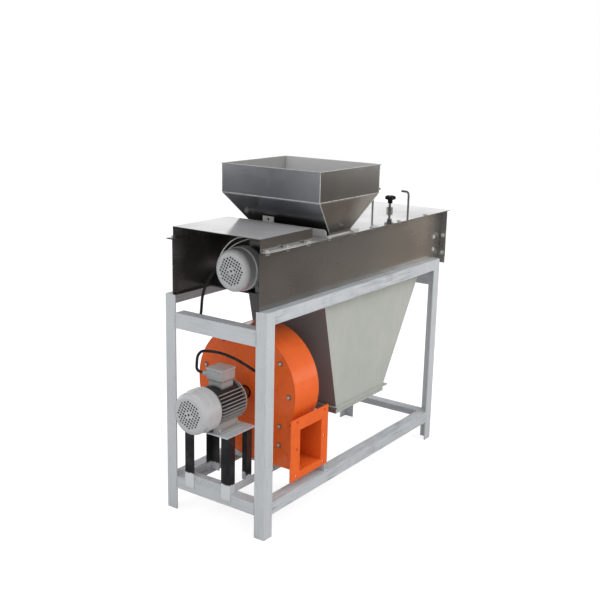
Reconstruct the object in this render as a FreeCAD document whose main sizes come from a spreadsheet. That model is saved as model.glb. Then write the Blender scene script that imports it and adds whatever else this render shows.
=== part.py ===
import FreeCAD, Part
import math
import os
import re
from types import SimpleNamespace

from FreeCAD import Placement, Rotation, Vector

# Roasted-peanut peeling machine: an angle-iron frame carries a sheet-metal body with a feed
# hopper, a peeling roller over a sieve and a driving motor.  Below it a suction hopper and a
# centrifugal blower with its own motor draw the skins away.
# X runs along the machine from the motor end to the discharge end, Y across it and Z up.
# The driving sizes, in millimetres, are kept in a sheet; places are measured from the outer
# foot corner of the near front post, and the last step moves every piece to the shared origin.

SIZES = {
    # Angle-iron frame
    "frame_length": 1080,
    "frame_width": 400,
    "frame_height": 725,
    "angle_leg": 40,
    "angle_wall": 4,
    "low_rail_base": 75,
    "end_rail_drop": 107,
    "end_rail_tall": 50,
    # Sheet-metal body
    "sheet_wall": 1.5,
    "plate_wall": 2,
    "body_width": 340,
    "body_tall": 175,
    "body_overhang": 50,
    "flange_turn": 25,
    "foot_turn": 15,
    "end_drop": 25,
    "panel_step": 5,
    "cover_start": 4,
    "cover_room": 4,
    "cover_rise": 38,
    "lid_start": 534,
    "lid_lap": 22,
    "bulkhead_place": 366,
    "shelf_edge": 31,
    "shelf_nose": 39,
    "lip_reach": 40,
    "ramp_rise": 10,
    "chute_length": 129,
    "chute_cheek": 14,
    "chute_tip_cheek": 6,
    "chute_turn_length": 124,
    # Feed hopper and slide gate
    "hopper_length": 358,
    "hopper_width": 395,
    "hopper_rise": 389,
    "band_tall": 95,
    "hopper_centre": 442,
    "throat_length": 120,
    "throat_width": 310,
    "hopper_rim": 4,
    "seat_start": 345,
    "seat_end": 530,
    "seat_width": 350,
    "seat_gap": 3,
    "gate_wall": 2,
    "gate_front": 334,
    "gate_width": 320,
    "gate_lap": 12,
    "gate_lip_width": 352,
    "gate_lip_tall": 24,
    "gate_corner": 12,
    "gate_tab_width": 45,
    "gate_tab_tall": 19,
    "gate_tab_shift": 54,
    "gate_hole": 4,
    "slide_clearance": 0.3,
    # Peeling roller, sieve and bearings
    "roller_rise": 86,
    "roller_start": 376,
    "roller_setback": 43,
    "roller_outer": 62.5,
    "roller_shell": 6,
    "roller_disc": 8,
    "shaft_radius": 12.5,
    "shaft_past": 23,
    "shaft_start": 328,
    "sieve_radius": 76,
    "wing_rise": 145,
    "bearing_radius": 40,
    "bearing_boss": 26,
    "bearing_depth": 18,
    "bearing_flange": 8,
    "bearing_fit": 1,
    "bearing_setback": 68,
    "bearing_plate_depth": 28,
    "bearing_plate_rise": 21,
    "bearing_plate_tall": 100,
    "bearing_bolt_drop": 95,
    "bearing_bolt_pitch": 47,
    "coupling_radius": 22,
    "coupling_length": 48,
    "coupling_grip": 28,
    "coupling_gap": 4,
    # Discharge gate and its screw
    "gate_setback": 142,
    "weir_wall": 3,
    "weir_rise": 143,
    "weir_slot": 15,
    "weir_gap": 2,
    "weir_ear": 22,
    "rod_radius": 4,
    "rod_weld": 1,
    "rod_offset": 77,
    "rod_shift": 23,
    "rod_rise": 75,
    "rod_bend": 30,
    "rod_turn": 12,
    "screw_setback": 23,
    "screw_shift": 38,
    "screw_radius": 5,
    "screw_rise": 16,
    "bush_flats": 12,
    "bush_tall": 14,
    "bush_neck": 9,
    "rod_gap": 0.4,
    "bracket_wide": 30,
    "bracket_wall": 4,
    "bracket_drop": 18,
    "screw_collar": 4,
    "bush_drop": 4,
    "knob_radius": 21,
    "knob_lobe": 7,
    "knob_lobes": 5,
    "knob_tall": 14,
    "knob_neck": 9,
    "knob_neck_tall": 14,
    # Suction hopper
    "suction_face": 42,
    "suction_top_start": 352,
    "suction_setback": 104,
    "suction_low_start": 452,
    "suction_low_end": 764,
    "suction_low": 298,
    "suction_wall": 2,
    "tray_tall": 24,
    "tray_turn": 12,
    "collar_radius": 84,
    "collar_end": 470,
    # Blower
    "fan_shift": 25,
    "fan_axis_z": 387,
    "fan_front": 187,
    "fan_depth": 126,
    "scroll_radius": 200,
    "scroll_shift": 3,
    "scroll_centre_z": 406,
    "scroll_floor": 163,
    "duct_roof": 310,
    "scroll_wall": 3,
    "front_turn": 26,
    "front_lap": 12,
    "duct_bolt": 84,
    "outlet_reach": 17,
    "outlet_start": 141,
    "outlet_base": 141,
    "outlet_side": 207,
    "outlet_wall": 4,
    "outlet_hole": 4.5,
    "outlet_holes_x": 152,
    "outlet_holes_z": 183,
    "impeller_radius": 158,
    "impeller_eye": 88,
    "impeller_depth": 84,
    "impeller_wall": 2.5,
    "impeller_gap": 16,
    "impeller_hub": 20,
    "hub_length": 62,
    "hub_gap": 3,
    "blade_sweep": 44,
    "blade_share": 0.62,
    "blade_count": 10,
    "inlet_radius": 82,
    # Both motors
    "shaft_height": 71,
    "motor_shaft": 7,
    "motor_reach": 30,
    "motor_length": 216,
    "shield_depth": 13,
    "stator_core": 56,
    "fin_radius": 67,
    "fin_wall": 2.2,
    "fin_count": 36,
    "fin_shift_share": 0.5,
    "box_seat_angle": 36,
    "foot_angle": 40,
    "shield_radius": 63,
    "shield_nose": 34,
    "rear_shield": 11,
    "cowl_radius": 70,
    "cowl_length": 74,
    "cowl_wall": 1.5,
    "cowl_round": 16,
    "cowl_step": 3,
    "cowl_skirt": 30,
    "cowl_eye": 4,
    "cowl_room": 12,
    "grille_radius": 50,
    "grille_hole": 6,
    "grille_pitch": 9.5,
    "grille_turn": 24,
    "foot_holes_start": 45,
    "foot_holes_y": 112,
    "foot_hole": 3.6,
    "foot_wall": 8,
    "foot_wide": 30,
    "foot_web": 14,
    "foot_rise": 32,
    "foot_margin": 7,
    "box_side": 66,
    "box_step": 2,
    "box_seat": 54,
    "box_tall": 40,
    "box_base": 76,
    "box_room": 45,
    "box_lid": 6,
    "gland_radius": 9,
    "gland_length": 18,
    "gland_shift": 24,
    "cooling_fan": 56,
    "fan_hub": 15,
    "fan_disc": 2,
    "fan_blade": 26,
    "fan_blades": 7,
    "blower_motor_place": 125,
    "roller_motor_place": 294,
    "running_gap": 0.05,
    # Blower stand
    "stand_leg_wide": 36,
    "stand_leg_deep": 25,
    "stand_leg_wall": 4,
    "stand_leg_base": 95,
    "stand_near_reach": 92,
    "stand_far_reach": 94,
    "stand_rear_place": 90,
    "motor_plate_edge": 18,
    "motor_plate_nose": 32,
    "motor_plate_width": 200,
    "motor_plate_wall": 4,
    "base_leg": 25,
    "base_leg_wall": 4,
    "base_rear": 332,
    # Fasteners and leads
    "bolt_radius": 3,
    "bolt_head": 5.5,
    "bolt_head_tall": 4,
    "bolt_gap": 0.3,
    "lead_radius": 4.5,
    "core_radius": 2.2,
    "core_shift": 2.3,
    "lead_out": 32,
    "lead_rise": 80,
    "lead_slack": 4,
    "lead_inset": 14,
    "lead_rail_drop": 23,
    "lead_reach": 85,
    "lead_clear": 28,
    "lead_gap": 14,
    "lead_joint": 0.6,
    "lead_bend_share": 0.45,
    # One overrun that every cut passes through its solid by
    "overrun": 5,
}

DOC = FreeCAD.newDocument("PeanutPeeler")
SHEET = DOC.addObject("Spreadsheet::Sheet", "Sizes")
for row, (alias, number) in enumerate(SIZES.items(), start=1):
    SHEET.set(f"A{row}", alias)
    SHEET.set(f"B{row}", str(number))
    SHEET.setAlias(f"B{row}", alias)
DOC.recompute()
S = SimpleNamespace(**{alias: float(SHEET.get(alias)) for alias in SIZES})
WORD = re.compile("|".join(sorted((rf"\b{alias}\b" for alias in SIZES), key=len, reverse=True)))


def bind(thing, **formulas):
    """Tie properties of a feature to formulas written in the sheet's names."""
    for name, formula in formulas.items():
        thing.setExpression(name, WORD.sub(lambda found: "Sizes." + found.group(), formula))


# Building blocks

def box(label, corner, length, width, height):
    """A block from its low corner, with its three sides as formulas."""
    block = DOC.addObject("Part::Box", label)
    block.Label = label
    bind(block, Length=length, Width=width, Height=height)
    block.Placement.Base = Vector(*corner)
    return block


def turn_to(axis):
    """The rotation that takes the Z axis to a given direction."""
    return Rotation(Vector(0, 0, 1), Vector(*axis))


def rod(label, foot, axis, radius, length):
    """A round bar from its foot along an axis."""
    bar = DOC.addObject("Part::Cylinder", label)
    bar.Label = label
    bind(bar, Radius=radius, Height=length)
    bar.Placement = Placement(Vector(*foot), turn_to(axis))
    return bar


def fuse(label, pieces):
    """One welded or cast piece made of several forms."""
    whole = DOC.addObject("Part::MultiFuse", label)
    whole.Label = label
    whole.Shapes = pieces
    whole.Refine = True
    return whole


def group(label, pieces):
    """Identical separate pieces that share one name."""
    whole = DOC.addObject("Part::Compound", label)
    whole.Label = label
    whole.Links = pieces
    return whole


def cut(label, base, tools):
    """A piece with one or more forms taken away."""
    tool = tools[0] if len(tools) == 1 else group(label + "_tools", tools)
    rest = DOC.addObject("Part::Cut", label)
    rest.Label = label
    rest.Base = base
    rest.Tool = tool
    rest.Refine = True
    return rest


def circle(u, v, radius):
    """A round loop of an outline."""
    return ("circle", u, v, radius)


def rectangle(u, v, u_end, v_end):
    """A four-sided loop between two opposite corners."""
    return [(u, v), (u_end, v), (u_end, v_end), (u, v_end)]


def draw(sketch, loop):
    """Add one closed loop; a step of four numbers is an arc: its end, then a point that it passes."""
    if loop[0] == "circle":
        sketch.addGeometry(Part.Circle(Vector(loop[1], loop[2], 0), Vector(0, 0, 1), loop[3]), False)
        return
    start = Vector(*loop[0][:2], 0)
    for step in loop[1:] + loop[:1]:
        finish = Vector(*step[:2], 0)
        if len(step) > 2:
            sketch.addGeometry(Part.Arc(start, Vector(*step[2:], 0), finish), False)
        else:
            sketch.addGeometry(Part.LineSegment(start, finish), False)
        start = finish


def outline(body, role, place, loops):
    """A sketch on one of the body's own planes, moved along that plane's normal."""
    sketch = body.newObject("Sketcher::SketchObject", body.Name + "_outline")
    plane = next(item for item in body.Origin.OriginFeatures if item.Role == role)
    sketch.AttachmentSupport = (plane, "")
    sketch.MapMode = "FlatFace"
    sketch.AttachmentOffset = Placement(Vector(0, 0, -place if role == "XZ_Plane" else place), Rotation())
    for loop in loops:
        draw(sketch, loop)
    return sketch


def extrusion(label, role, place, depth, loops):
    """Outlines drawn at a place along one axis and padded forwards along it by a formula."""
    body = DOC.addObject("PartDesign::Body", label)
    body.Label = label
    sketch = outline(body, role, place, loops)
    pad = body.newObject("PartDesign::Pad", label + "_pad")
    pad.Profile = sketch
    pad.Reversed = role == "XZ_Plane"
    bind(pad, Length=depth)
    sketch.Visibility = False
    body.Tip = pad
    return body


def turned(label, loop):
    """A lathe form about the X axis; the loop gives places along it and radii."""
    body = DOC.addObject("PartDesign::Body", label)
    body.Label = label
    sketch = outline(body, "XY_Plane", 0, [loop])
    spin = body.newObject("PartDesign::Revolution", label + "_spin")
    spin.Profile = sketch
    spin.ReferenceAxis = (sketch, ["H_Axis"])
    spin.Angle = 360
    sketch.Visibility = False
    body.Tip = spin
    return body


def funnel(label, low, low_x, low_y, high, high_x, high_y):
    """A four-sided taper between two level rectangles, each given by its ranges along X and Y."""
    taper = DOC.addObject("Part::Wedge", label)
    taper.Label = label
    taper.Ymin, taper.Ymax = low, high
    taper.Xmin, taper.Xmax = low_x
    taper.X2min, taper.X2max = high_x
    taper.Zmin, taper.Zmax = -low_y[1], -low_y[0]
    taper.Z2min, taper.Z2max = -high_y[1], -high_y[0]
    taper.Placement.Rotation = Rotation(Vector(1, 0, 0), 90)
    return taper


def drill(label, base, spots, axis, radius="bolt_radius + bolt_gap"):
    """Bolt holes through sheets, each centred on its spot."""
    tools = []
    for number, spot in enumerate(spots):
        foot = Vector(*spot) - Vector(*axis) * S.overrun
        tools.append(rod(f"{label}_drill{number}", foot, axis, radius, "2 * overrun"))
    return cut(label, base, tools)


def bolt(label, face, axis, grip_formula, grip):
    """A hexagon bolt with its head on a face and its nut under the gripped sheets."""
    face, direction = Vector(*face), Vector(*axis)
    under = face - direction * (grip + S.bolt_head_tall)
    ends = []
    for name, foot in (("head", face), ("nut", under)):
        end = DOC.addObject("Part::Prism", f"{label}_{name}")
        bind(end, Circumradius="bolt_head", Height="bolt_head_tall")
        end.Placement = Placement(foot, turn_to(axis))
        ends.append(end)
    shank = rod(label + "_shank", under, axis, "bolt_radius", grip_formula + " + 2 * bolt_head_tall")
    return fuse(label, ends + [shank])


# Angle-iron frame

def post(label, corner_x, corner_y, side_x, side_y):
    """A bare-footed corner leg, its outer corner on the frame's corner."""
    def at(u, v):
        return (corner_x + side_x * u, corner_y + side_y * v)
    leg, wall = S.angle_leg, S.angle_wall
    loop = [at(0, 0), at(leg, 0), at(leg, wall), at(wall, wall), at(wall, leg), at(0, leg)]
    return extrusion(label, "XY_Plane", 0, "frame_height", [loop])


def long_rail(label, side, top):
    """A rail along the machine: upright flange between the posts, level flange coped behind them."""
    near = side > 0
    upright = box(label + "_upright",
                  (S.angle_leg, 0 if near else S.frame_width - S.angle_wall, top - S.angle_leg),
                  "frame_length - 2 * angle_leg", "angle_wall", "angle_leg")
    level_y = S.angle_wall if near else S.frame_width - S.angle_leg
    level = box(label + "_level", (S.angle_wall, level_y, top - S.angle_wall),
                "frame_length - 2 * angle_wall", "angle_leg - angle_wall", "angle_wall")
    return fuse(label, [upright, level])


def end_rail(label, side, base, tall, tall_formula):
    """A rail across one end of the frame, with its level flange on top."""
    near = side > 0
    upright = box(label + "_upright", (0 if near else S.frame_length - S.angle_wall, S.angle_leg, base),
                  "angle_wall", "frame_width - 2 * angle_leg", tall_formula)
    level_x = S.angle_wall if near else S.frame_length - S.angle_leg
    level = box(label + "_level", (level_x, S.angle_leg, base + tall - S.angle_wall),
                "angle_leg - angle_wall", "frame_width - 2 * angle_leg", "angle_wall")
    return fuse(label, [upright, level])


END_RAIL_BASE = S.frame_height - S.end_rail_drop


def frame():
    length, width = S.frame_length, S.frame_width
    low_top = S.low_rail_base + S.angle_leg
    return [
        post("post_motor_front", 0, 0, 1, 1),
        post("post_motor_rear", 0, width, 1, -1),
        post("post_outlet_front", length, 0, -1, 1),
        post("post_outlet_rear", length, width, -1, -1),
        long_rail("top_rail_front", 1, S.frame_height),
        long_rail("top_rail_rear", -1, S.frame_height),
        long_rail("low_rail_front", 1, low_top),
        long_rail("low_rail_rear", -1, low_top),
        end_rail("end_rail_motor_top", 1, END_RAIL_BASE, S.end_rail_tall, "end_rail_tall"),
        end_rail("end_rail_outlet_top", -1, END_RAIL_BASE, S.end_rail_tall, "end_rail_tall"),
        end_rail("end_rail_motor_low", 1, S.low_rail_base, S.angle_leg, "angle_leg"),
        end_rail("end_rail_outlet_low", -1, S.low_rail_base, S.angle_leg, "angle_leg"),
    ]


# Sheet-metal body

BODY_NEAR = (S.frame_width - S.body_width) / 2
BODY_FAR = BODY_NEAR + S.body_width
BODY_BASE = S.frame_height
BODY_TOP = BODY_BASE + S.body_tall
BODY_END = S.frame_length + S.body_overhang
DECK_TOP = BODY_TOP + S.plate_wall
FLANGE_MID = S.flange_turn / 2
CHUTE_START = BODY_END - S.chute_length
GATE_PLANE = BODY_END - S.gate_setback
SCREW_X = GATE_PLANE - S.screw_setback
BEARING_PLATE = BODY_END - S.bearing_setback
BEARING_BOLT = BEARING_PLATE + S.bearing_plate_depth / 2
RAMP_TOP = BODY_BASE + S.ramp_rise
HOPPER_TOP = BODY_BASE + S.hopper_rise
WING_TOP = BODY_BASE + S.wing_rise
WEIR_TOP = BODY_BASE + S.weir_rise
BEARING_PLATE_LOW = BODY_BASE + S.bearing_plate_rise
MIDDLE = S.frame_width / 2
ROLLER_Z = BODY_BASE + S.roller_rise
FAN_Y = MIDDLE + S.fan_shift
SCROLL_Y = FAN_Y - S.scroll_shift
OUTLET_FACE = SCROLL_Y - S.scroll_radius - S.outlet_reach
SCREW_Y = MIDDLE - S.screw_shift
GATE_TAB = MIDDLE + S.gate_tab_shift
MOTOR_BACK = S.motor_length - S.cowl_length
FOOT_HOLES_X = MOTOR_BACK - S.foot_holes_start - S.foot_margin
SHELF_START = S.roller_motor_place - S.foot_holes_start - FOOT_HOLES_X - S.shelf_edge
SHELF_LENGTH = "motor_length - cowl_length - foot_holes_start - foot_margin + shelf_edge + shelf_nose"
COVER_END = S.roller_motor_place - MOTOR_BACK + S.box_room + S.box_side + S.cover_room
COVER_LENGTH = ("roller_motor_place - motor_length + cowl_length + box_room + box_side + cover_room"
                " - cover_start")
COVER_BOLT_SHARES = (0.075, 0.442, 0.843)
DECK_BOLT_SHARES = (0.27, 0.82)
LID_BOLT_SHARES = (0.11, 0.418, 0.742)
PANEL_BOLTS_X = (
    tuple(COVER_END * share for share in COVER_BOLT_SHARES)
    + tuple(COVER_END + (S.lid_start - COVER_END) * share for share in DECK_BOLT_SHARES)
    + tuple(S.lid_start + (BODY_END - S.lid_start) * share for share in LID_BOLT_SHARES))
END_BOLT_SHARES = (0.08, 0.463)
END_BOLTS_Z = tuple(BODY_BASE + S.body_tall * share for share in END_BOLT_SHARES)
BEARING_BOLTS_Z = (BODY_TOP - S.bearing_bolt_drop - S.bearing_bolt_pitch, BODY_TOP - S.bearing_bolt_drop)


def flange_bolts(places):
    """Bolt centres on both top flanges at the given places along the body."""
    return [(x, y, BODY_TOP) for x in places for y in (BODY_NEAR - FLANGE_MID, BODY_FAR + FLANGE_MID)]




def foot_spots(place, y, z):
    """The four foot holes of a motor whose shaft shoulder lies at a place along the machine."""
    start = place - S.foot_holes_start
    return [(x, y + side * S.foot_holes_y / 2, z) for x in (start, start - FOOT_HOLES_X) for side in (-1, 1)]


def side_panel(label, face, side):
    """A folded side: web, flange turned out along the top, foot turned in, and a deeper end."""
    wall, turn, foot = S.sheet_wall, S.flange_turn, S.foot_turn

    def at(out, z):
        return (face + side * out, z)
    loop = [at(-turn, BODY_TOP), at(wall, BODY_TOP), at(wall, BODY_BASE + wall), at(foot, BODY_BASE + wall),
            at(foot, BODY_BASE), at(0, BODY_BASE), at(0, BODY_TOP - wall), at(-turn, BODY_TOP - wall)]
    folded = extrusion(label + "_folded", "YZ_Plane", 0, "frame_length + body_overhang", [loop])
    low = BODY_BASE - S.end_drop
    drop_y = face if side > 0 else face - wall
    drop = box(label + "_drop", (S.frame_length + S.panel_step, drop_y, low),
               "body_overhang - panel_step", "sheet_wall", "end_drop")
    end_y = face - turn if side > 0 else face
    end = box(label + "_end", (BODY_END - wall, end_y, low),
              "sheet_wall", "flange_turn", "body_tall + end_drop - sheet_wall")
    whole = fuse(label + "_sheet", [folded, drop, end])
    top_y = face - side * FLANGE_MID
    topped = drill(label + "_topped", whole, [(x, top_y, BODY_TOP) for x in PANEL_BOLTS_X], (0, 0, 1))
    ended = drill(label + "_ended", topped, [(BODY_END, top_y, z) for z in END_BOLTS_Z], (1, 0, 0))
    return drill(label, ended, [(BEARING_BOLT, face, z) for z in BEARING_BOLTS_Z], (0, 1, 0))


def end_panel():
    """The flat plate bolted on the flanges of the outlet end."""
    low, high = BODY_NEAR - S.flange_turn, BODY_FAR + S.flange_turn
    holes = [circle(y, z, S.bolt_radius + S.bolt_gap)
             for y in (BODY_NEAR - FLANGE_MID, BODY_FAR + FLANGE_MID) for z in END_BOLTS_Z]
    return extrusion("end_panel", "YZ_Plane", BODY_END, "sheet_wall",
                     [rectangle(low, BODY_BASE, high, BODY_TOP)] + holes)


def bulkhead():
    """The cross wall between the motor bay and the peeling chamber."""
    inner = S.sheet_wall
    wall = rectangle(BODY_NEAR + inner, BODY_BASE + inner, BODY_FAR - inner, BODY_TOP)
    hole = circle(MIDDLE, ROLLER_Z, S.bearing_boss)
    return extrusion("bulkhead", "YZ_Plane", S.bulkhead_place, "plate_wall", [wall, hole])


def motor_shelf():
    """The folded shelf that the roller's motor stands on."""
    near, far, wall = BODY_NEAR + S.sheet_wall, BODY_FAR - S.sheet_wall, S.angle_wall
    base, top = BODY_BASE + S.sheet_wall, ROLLER_Z - S.shaft_height
    loop = [(near, base), (near + wall, base), (near + wall, top - wall), (far - wall, top - wall),
            (far - wall, base), (far, base), (far, top), (near, top)]
    tray = extrusion("motor_shelf_tray", "YZ_Plane", SHELF_START, SHELF_LENGTH, [loop])
    return drill("motor_shelf", tray, foot_spots(S.roller_motor_place, MIDDLE, top), (0, 0, 1),
                 "foot_hole")


def deck_plate():
    """The plate under the feed hopper, with the throat cut through it."""
    near, far = BODY_NEAR - S.flange_turn, BODY_FAR + S.flange_turn
    spots = [spot for spot in flange_bolts(PANEL_BOLTS_X) if COVER_END < spot[0] < S.lid_start]
    holes = [circle(x, y, S.bolt_radius + S.bolt_gap) for x, y, z in spots]
    sheet = rectangle(COVER_END, near, S.lid_start - S.slide_clearance, far)
    return extrusion("deck_plate", "XY_Plane", BODY_TOP, "plate_wall", [sheet, throat(0)] + holes)


def lid():
    """The flat lid over the peeling chamber, with holes for the gate's rods and screw bush."""
    near, far = BODY_NEAR - S.flange_turn, BODY_FAR + S.flange_turn
    spots = [spot for spot in flange_bolts(PANEL_BOLTS_X) if spot[0] > S.lid_start]
    holes = [circle(x, y, S.bolt_radius + S.bolt_gap) for x, y, z in spots]
    holes += [circle(ROD_PLACE, y, S.rod_radius + S.rod_gap) for y in RODS_Y]
    holes.append(circle(SCREW_X, SCREW_Y, S.bush_neck))
    sheet = rectangle(S.lid_start, near, BODY_END + S.lid_lap, far)
    return extrusion("lid", "XY_Plane", BODY_TOP, "plate_wall", [sheet] + holes)


def motor_cover():
    """The raised cover over the motor bay: a folded hood with turned-out feet and a closed end."""
    wall, top, base = S.sheet_wall, BODY_TOP + S.plate_wall + S.cover_rise, BODY_TOP
    near, far, turn = BODY_NEAR, BODY_FAR, S.flange_turn
    loop = [(near - turn, base), (near + wall, base), (near + wall, top - wall), (far - wall, top - wall),
            (far - wall, base), (far + turn, base), (far + turn, base + wall), (far, base + wall),
            (far, top), (near, top), (near, base + wall), (near - turn, base + wall)]
    hood = extrusion("motor_cover_hood", "YZ_Plane", S.cover_start, COVER_LENGTH, [loop])
    end = box("motor_cover_end", (COVER_END - wall, near + wall, base),
              "sheet_wall", "body_width - 2 * sheet_wall", "plate_wall + cover_rise - sheet_wall")
    whole = fuse("motor_cover_sheet", [hood, end])
    spots = [spot for spot in flange_bolts(PANEL_BOLTS_X) if spot[0] < COVER_END]
    return drill("motor_cover", whole, spots, (0, 0, 1))


def bearing_plate():
    """The cross plate with end flanges that carries the roller's outer bearing."""
    wall, depth = S.plate_wall, S.bearing_plate_depth
    near, far = BODY_NEAR + S.sheet_wall, BODY_FAR - S.sheet_wall
    start = BEARING_PLATE
    loop = [(start, near), (start + depth, near), (start + depth, near + wall), (start + wall, near + wall),
            (start + wall, far - wall), (start + depth, far - wall), (start + depth, far), (start, far)]
    folded = extrusion("bearing_plate_folded", "XY_Plane", BEARING_PLATE_LOW, "bearing_plate_tall", [loop])
    bore = rod("bearing_plate_bore", (start - S.overrun, MIDDLE, ROLLER_Z), (1, 0, 0),
               "bearing_boss", "plate_wall + 2 * overrun")
    open_plate = cut("bearing_plate_open", folded, [bore])
    spots = [(BEARING_BOLT, y, z) for y in (near, far) for z in BEARING_BOLTS_Z]
    return drill("bearing_plate", open_plate, spots, (0, 1, 0))


def discharge_chute():
    """The sloping tray that carries peeled nuts from the sieve's end out under the end panel."""
    wall, start, end = S.sheet_wall, CHUTE_START, BODY_END
    low = BODY_BASE - S.end_drop
    tip = end + S.lip_reach
    slope = (RAMP_TOP - low - wall) / (end - start)
    near, far = BODY_NEAR + S.foot_turn + S.slide_clearance, BODY_FAR - S.foot_turn - S.slide_clearance
    tip_base = RAMP_TOP - wall - slope * (tip - start)
    floor = [(start, RAMP_TOP - wall), (tip, tip_base), (tip, tip_base + wall), (start, RAMP_TOP)]
    sheet = extrusion("discharge_chute_floor", "XZ_Plane", near,
                      "body_width - 2 * foot_turn - 2 * slide_clearance",
                      [floor])
    base, top = BODY_BASE + wall, BODY_BASE + wall + S.chute_cheek
    cheek = [(start, RAMP_TOP - wall), (tip, tip_base), (tip, tip_base + wall + S.chute_tip_cheek),
             (end, BODY_BASE - S.slide_clearance), (end, top - wall), (start, top)]
    pieces = [sheet]
    for name, inner, turned_y in (("near", near, BODY_NEAR + wall), ("far", far - wall, far - wall)):
        pieces.append(extrusion("discharge_chute_" + name, "XZ_Plane", inner, "sheet_wall", [cheek]))
        pieces.append(box(f"discharge_chute_{name}_turn", (start, turned_y, base), "chute_turn_length",
                          "foot_turn + slide_clearance", "sheet_wall"))
    return fuse("discharge_chute", pieces)


# Feed hopper and slide gate

def throat(margin):
    """The rectangular throat's loop, widened all round by a margin."""
    half_x, half_y = S.throat_length / 2 + margin, S.throat_width / 2 + margin
    return rectangle(S.hopper_centre - half_x, MIDDLE - half_y,
                     S.hopper_centre + half_x, MIDDLE + half_y)


def span(centre, size):
    """The low and high ends of a size about its centre."""
    return (centre - size / 2, centre + size / 2)


SEAT_NEAR = MIDDLE - S.seat_width / 2
SEAT_FAR = MIDDLE + S.seat_width / 2
SEAT_TOP = DECK_TOP + S.seat_gap
GATE_END = S.hopper_centre + S.throat_length / 2 + S.gate_lap


def gate_frame():
    """The U-shaped spacer between deck and hopper that guides the slide gate."""
    half = S.gate_width / 2 + S.slide_clearance
    near, far, stop = MIDDLE - half, MIDDLE + half, GATE_END + S.slide_clearance
    loop = [(S.seat_start, SEAT_NEAR), (S.seat_end, SEAT_NEAR), (S.seat_end, SEAT_FAR),
            (S.seat_start, SEAT_FAR),
            (S.seat_start, far), (stop, far), (stop, near), (S.seat_start, near)]
    return extrusion("gate_frame", "XY_Plane", DECK_TOP, "seat_gap", [loop])


def hopper():
    """The sheet funnel: seat flange, taper, upright band and turned-out rim."""
    wall, rim, band_base = S.sheet_wall, S.hopper_rim, HOPPER_TOP - S.band_tall
    centre_x, centre_y = S.hopper_centre, MIDDLE
    seat = extrusion("hopper_seat", "XY_Plane", SEAT_TOP, "sheet_wall",
                     [rectangle(S.seat_start, SEAT_NEAR, S.seat_end, SEAT_FAR), throat(0)])
    forms = []
    for name, grown in (("outer", 0), ("inner", -2 * wall)):
        band_x = span(centre_x, S.hopper_length - 2 * rim + grown)
        band_y = span(centre_y, S.hopper_width - 2 * rim + grown)
        foot_x = span(centre_x, S.throat_length + 2 * wall + grown)
        foot_y = span(centre_y, S.throat_width + 2 * wall + grown)
        taper = funnel(f"hopper_{name}_taper", SEAT_TOP, foot_x, foot_y, band_base, band_x, band_y)
        band = box(f"hopper_{name}_band", (band_x[0], band_y[0], band_base),
                   f"hopper_length - 2 * hopper_rim + {grown / wall} * sheet_wall",
                   f"hopper_width - 2 * hopper_rim + {grown / wall} * sheet_wall", "band_tall")
        forms.append(fuse(f"hopper_{name}", [taper, band]))
    shell = cut("hopper_shell", forms[0], [forms[1]])
    rim_x, rim_y = span(centre_x, S.hopper_length), span(centre_y, S.hopper_width)
    rim_loop = rectangle(rim_x[0], rim_y[0], rim_x[1], rim_y[1])
    mouth = rectangle(rim_x[0] + rim + wall, rim_y[0] + rim + wall,
                      rim_x[1] - rim - wall, rim_y[1] - rim - wall)
    edge = extrusion("hopper_rim_turn", "XY_Plane", HOPPER_TOP - wall, "sheet_wall", [rim_loop, mouth])
    return fuse("hopper", [seat, shell, edge])


def slide_gate():
    """The feed gate: a plate between its guides, its front folded up into a lip with a pierced tab."""
    half, base, start = S.gate_width / 2, DECK_TOP + S.slide_clearance, S.gate_front
    plate = extrusion("slide_gate_plate", "XY_Plane", base, "gate_wall",
                      [rectangle(start, MIDDLE - half, GATE_END, MIDDLE + half)])
    near, far = span(MIDDLE, S.gate_lip_width)
    tab_near, tab_far = span(GATE_TAB, S.gate_tab_width)
    top, corner = base + S.gate_lip_tall, S.gate_corner
    tip, inset = top + S.gate_tab_tall, S.gate_corner * (1 - math.sqrt(0.5))
    loop = [(near, base), (far, base), (far, top - corner), (far - corner, top, far - inset, top - inset),
            (tab_far, top), (tab_far, tip), (tab_near, tip), (tab_near, top), (near + corner, top),
            (near, top - corner, near + inset, top - inset)]
    hole = circle(GATE_TAB, top + S.gate_tab_tall / 2, S.gate_hole)
    lip = extrusion("slide_gate_lip", "YZ_Plane", start, "gate_wall", [loop, hole])
    return fuse("slide_gate", [plate, lip])


# Peeling roller, sieve and bearings

def sieve_trough():
    """The U-shaped trough round the roller, with wings that slope up to the side panels."""
    y, z, inner, wall = MIDDLE, ROLLER_Z, S.sieve_radius, S.sheet_wall
    outer, reach = inner + wall, S.body_width / 2 - S.sheet_wall
    rise = WING_TOP - z
    angle = math.atan2(rise, reach - inner)
    step_out, step_down = wall * math.sin(angle), wall * math.cos(angle)
    along = inner * math.cos(angle)
    meet = math.sqrt(along ** 2 + outer ** 2 - (inner + step_out) ** 2 - step_down ** 2) - along
    elbow_y = inner + step_out + meet * math.cos(angle)
    elbow_z = meet * math.sin(angle) - step_down
    loop = [(y - reach, z + rise), (y - inner, z), (y + inner, z, y, z - inner), (y + reach, z + rise),
            (y + reach, z + rise - wall / math.cos(angle)), (y + elbow_y, z + elbow_z),
            (y - elbow_y, z + elbow_z, y, z - outer), (y - reach, z + rise - wall / math.cos(angle))]
    return extrusion("sieve_trough", "YZ_Plane", S.bulkhead_place + S.plate_wall,
                     "frame_length + body_overhang - chute_length - bulkhead_place - plate_wall", [loop])


def centred(name, label_loop, y, z):
    """A lathe form moved onto an axis along X."""
    form = turned(name, label_loop)
    form.Placement.Base = Vector(0, y, z)
    return form


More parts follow.
